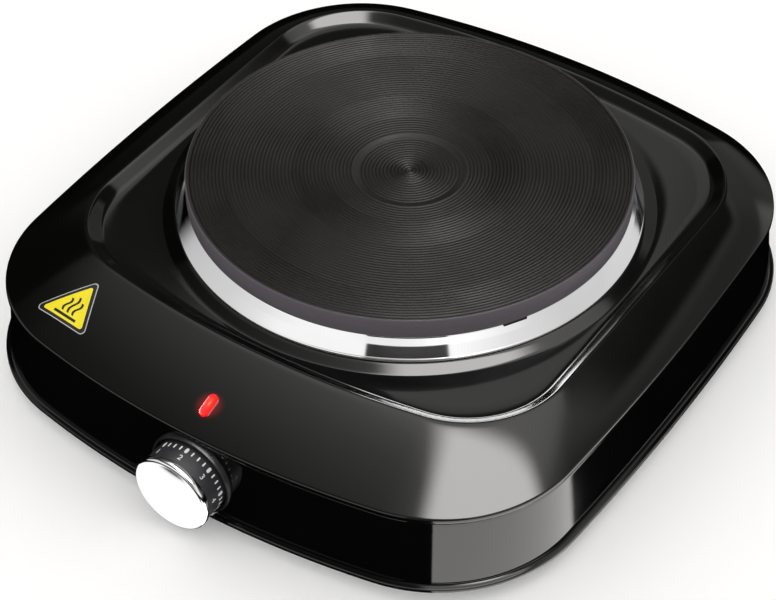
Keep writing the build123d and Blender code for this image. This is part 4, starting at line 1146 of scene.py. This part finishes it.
glow = sky_ramp((1, 1, 0), -1.0, 0.3, [(-1.0, 0.05), (-0.6, 0.11), (-0.48, 0.18), (-0.35, 0.28), (-0.2, 0.42),
                                       (-0.1, 0.58), (0.0, 0.92), (0.1, 1.0)])
lift = sky_ramp((0, 0, 1), 0.0, 1.0, [(0.0, 0.10), (0.34, 0.14), (0.52, 0.15), (0.64, 0.32), (0.71, 0.45),
                                      (0.755, 0.62), (0.82, 0.86), (0.9, 1.0)])
room = sky_times(sky_times(glow, lift), 1.9)
room = sky_times(room, sky_side((-0.82, 0.57, 0), 0.717, 0.700))
room = sky_times(room, sky_side((0, 0, 1), -0.15, 0.05))
wall_tone = sky_ramp((0, -1, 0), -0.9, 0.9, [(-0.9, 0.56), (-0.7, 0.50), (-0.3, 0.46), (0.0, 0.56),
                                             (0.25, 0.66), (0.55, 0.76), (0.70, 0.90), (0.79, 1.10)])
behind = sky_patch(1.0, (bearing(164), -0.06, 0.08), (bearing(-88, -1), -0.12, 0.12))
wall_tone = sky_times(wall_tone, sky_less(1.0, behind))
panels = [
    sky_patch(10.0, ((1, 0.6, 0), -0.13, -0.01), ((0.08, 1, 0), 0.38, 0.27), ((0, 1, 0), -0.5, -0.3),
              ((0, 0, 1), 0.66, 0.72)),
    sky_times(wall_tone, sky_patch(
        1.0, ((0, 0, 1), -0.05, -0.01), ((-0.10, 0.0, 1), 0.68, 0.64), ((0, 0.35, 1), 0.66, 0.60))),
    sky_patch(0.08, ((0, 0, 1), 0.2, 0.5), ((0, 1, 0), 0.35, 0.5), ((-1, 0.3, 0), -0.2, 0.1)),
    sky_patch(0.04, ((0, 1, 0), 0.5, 0.7), ((0, 0, 1), 0.3, 0.2), ((0, 0, 1), -0.1, -0.05)),
    sky_patch(3.0, ((0, 0, 1), -0.3, -0.36), (bearing(30), -0.008, 0.008), (bearing(137, -1), -0.008, 0.008)),
]
for panel in panels:
    room = sky_sum(room, panel)
flag = sky_patch(0.975, (bearing(13), -0.004, 0.004), (bearing(52, -1), -0.004, 0.004),
                 ((0, 0, 1), 0.626, 0.616), ((0, 0, 1), 0.10, 0.12))
dark_back = sky_patch(0.92, ((0, 1, 0), 0.59, 0.63), ((0, 0, 1), 0.56, 0.62), ((1, 0, 0), -0.33, -0.28))
for shade in (flag, dark_back):
    room = sky_times(room, sky_less(1.0, shade))
mirror_background = sky_new("ShaderNodeBackground")
mirror_background.inputs["Color"].default_value = (1.0, 0.985, 0.965, 1)
sky_link(room, mirror_background.inputs["Strength"])
even_background = sky.nodes["Background"]
preset(even_background, {"Color": (1.0, 0.99, 0.98, 1), "Strength": 1.0})
ray = sky_new("ShaderNodeLightPath")
pick = sky_new("ShaderNodeMixShader")
sky_link(ray.outputs["Is Glossy Ray"], pick.inputs["Fac"])
sky_link(even_background.outputs["Background"], pick.inputs[1])
sky_link(mirror_background.outputs["Background"], pick.inputs[2])
sky_link(pick.outputs["Shader"], sky.nodes["World Output"].inputs["Surface"])

# A low reflector lies before the knob and lights only the cap.
reflector_light = bpy.data.lights.new("cap_reflector", "AREA")
reflector_light.shape = "RECTANGLE"
reflector_light.size, reflector_light.size_y = 0.10, 0.040
reflector_light.energy = 1.12 * math.pi * reflector_light.size * reflector_light.size_y
reflector = link_object("cap_reflector", reflector_light)
reflector.location = (-0.022, -0.177, 0.0006)
reflector.rotation_euler = (math.pi, 0, 0)
cap_only = bpy.data.collections.new("cap_only")
cap_only.objects.link(knob_cap)
reflector.light_linking.receiver_collection = cap_only

camera_data = bpy.data.cameras.new("camera")
camera_data.sensor_width = 36.0
camera_data.lens = 107.33
camera = link_object("camera", camera_data)
azimuth, elevation, roll = math.radians(34.09), math.radians(42.95), math.radians(-0.26)
aim = Vector((0.0227, -0.03995, 0.046))
camera_distance = 0.92857
back = Vector((math.sin(azimuth) * math.cos(elevation), -math.cos(azimuth) * math.cos(elevation),
               math.sin(elevation)))
camera.location = aim + back * camera_distance
camera.rotation_mode = "QUATERNION"
camera.rotation_quaternion = (-back).to_track_quat("-Z", "Y") @ Matrix.Rotation(roll, 4, "Z").to_quaternion()
bpy.context.scene.camera = camera
bpy.context.scene.view_settings.view_transform = "Standard"
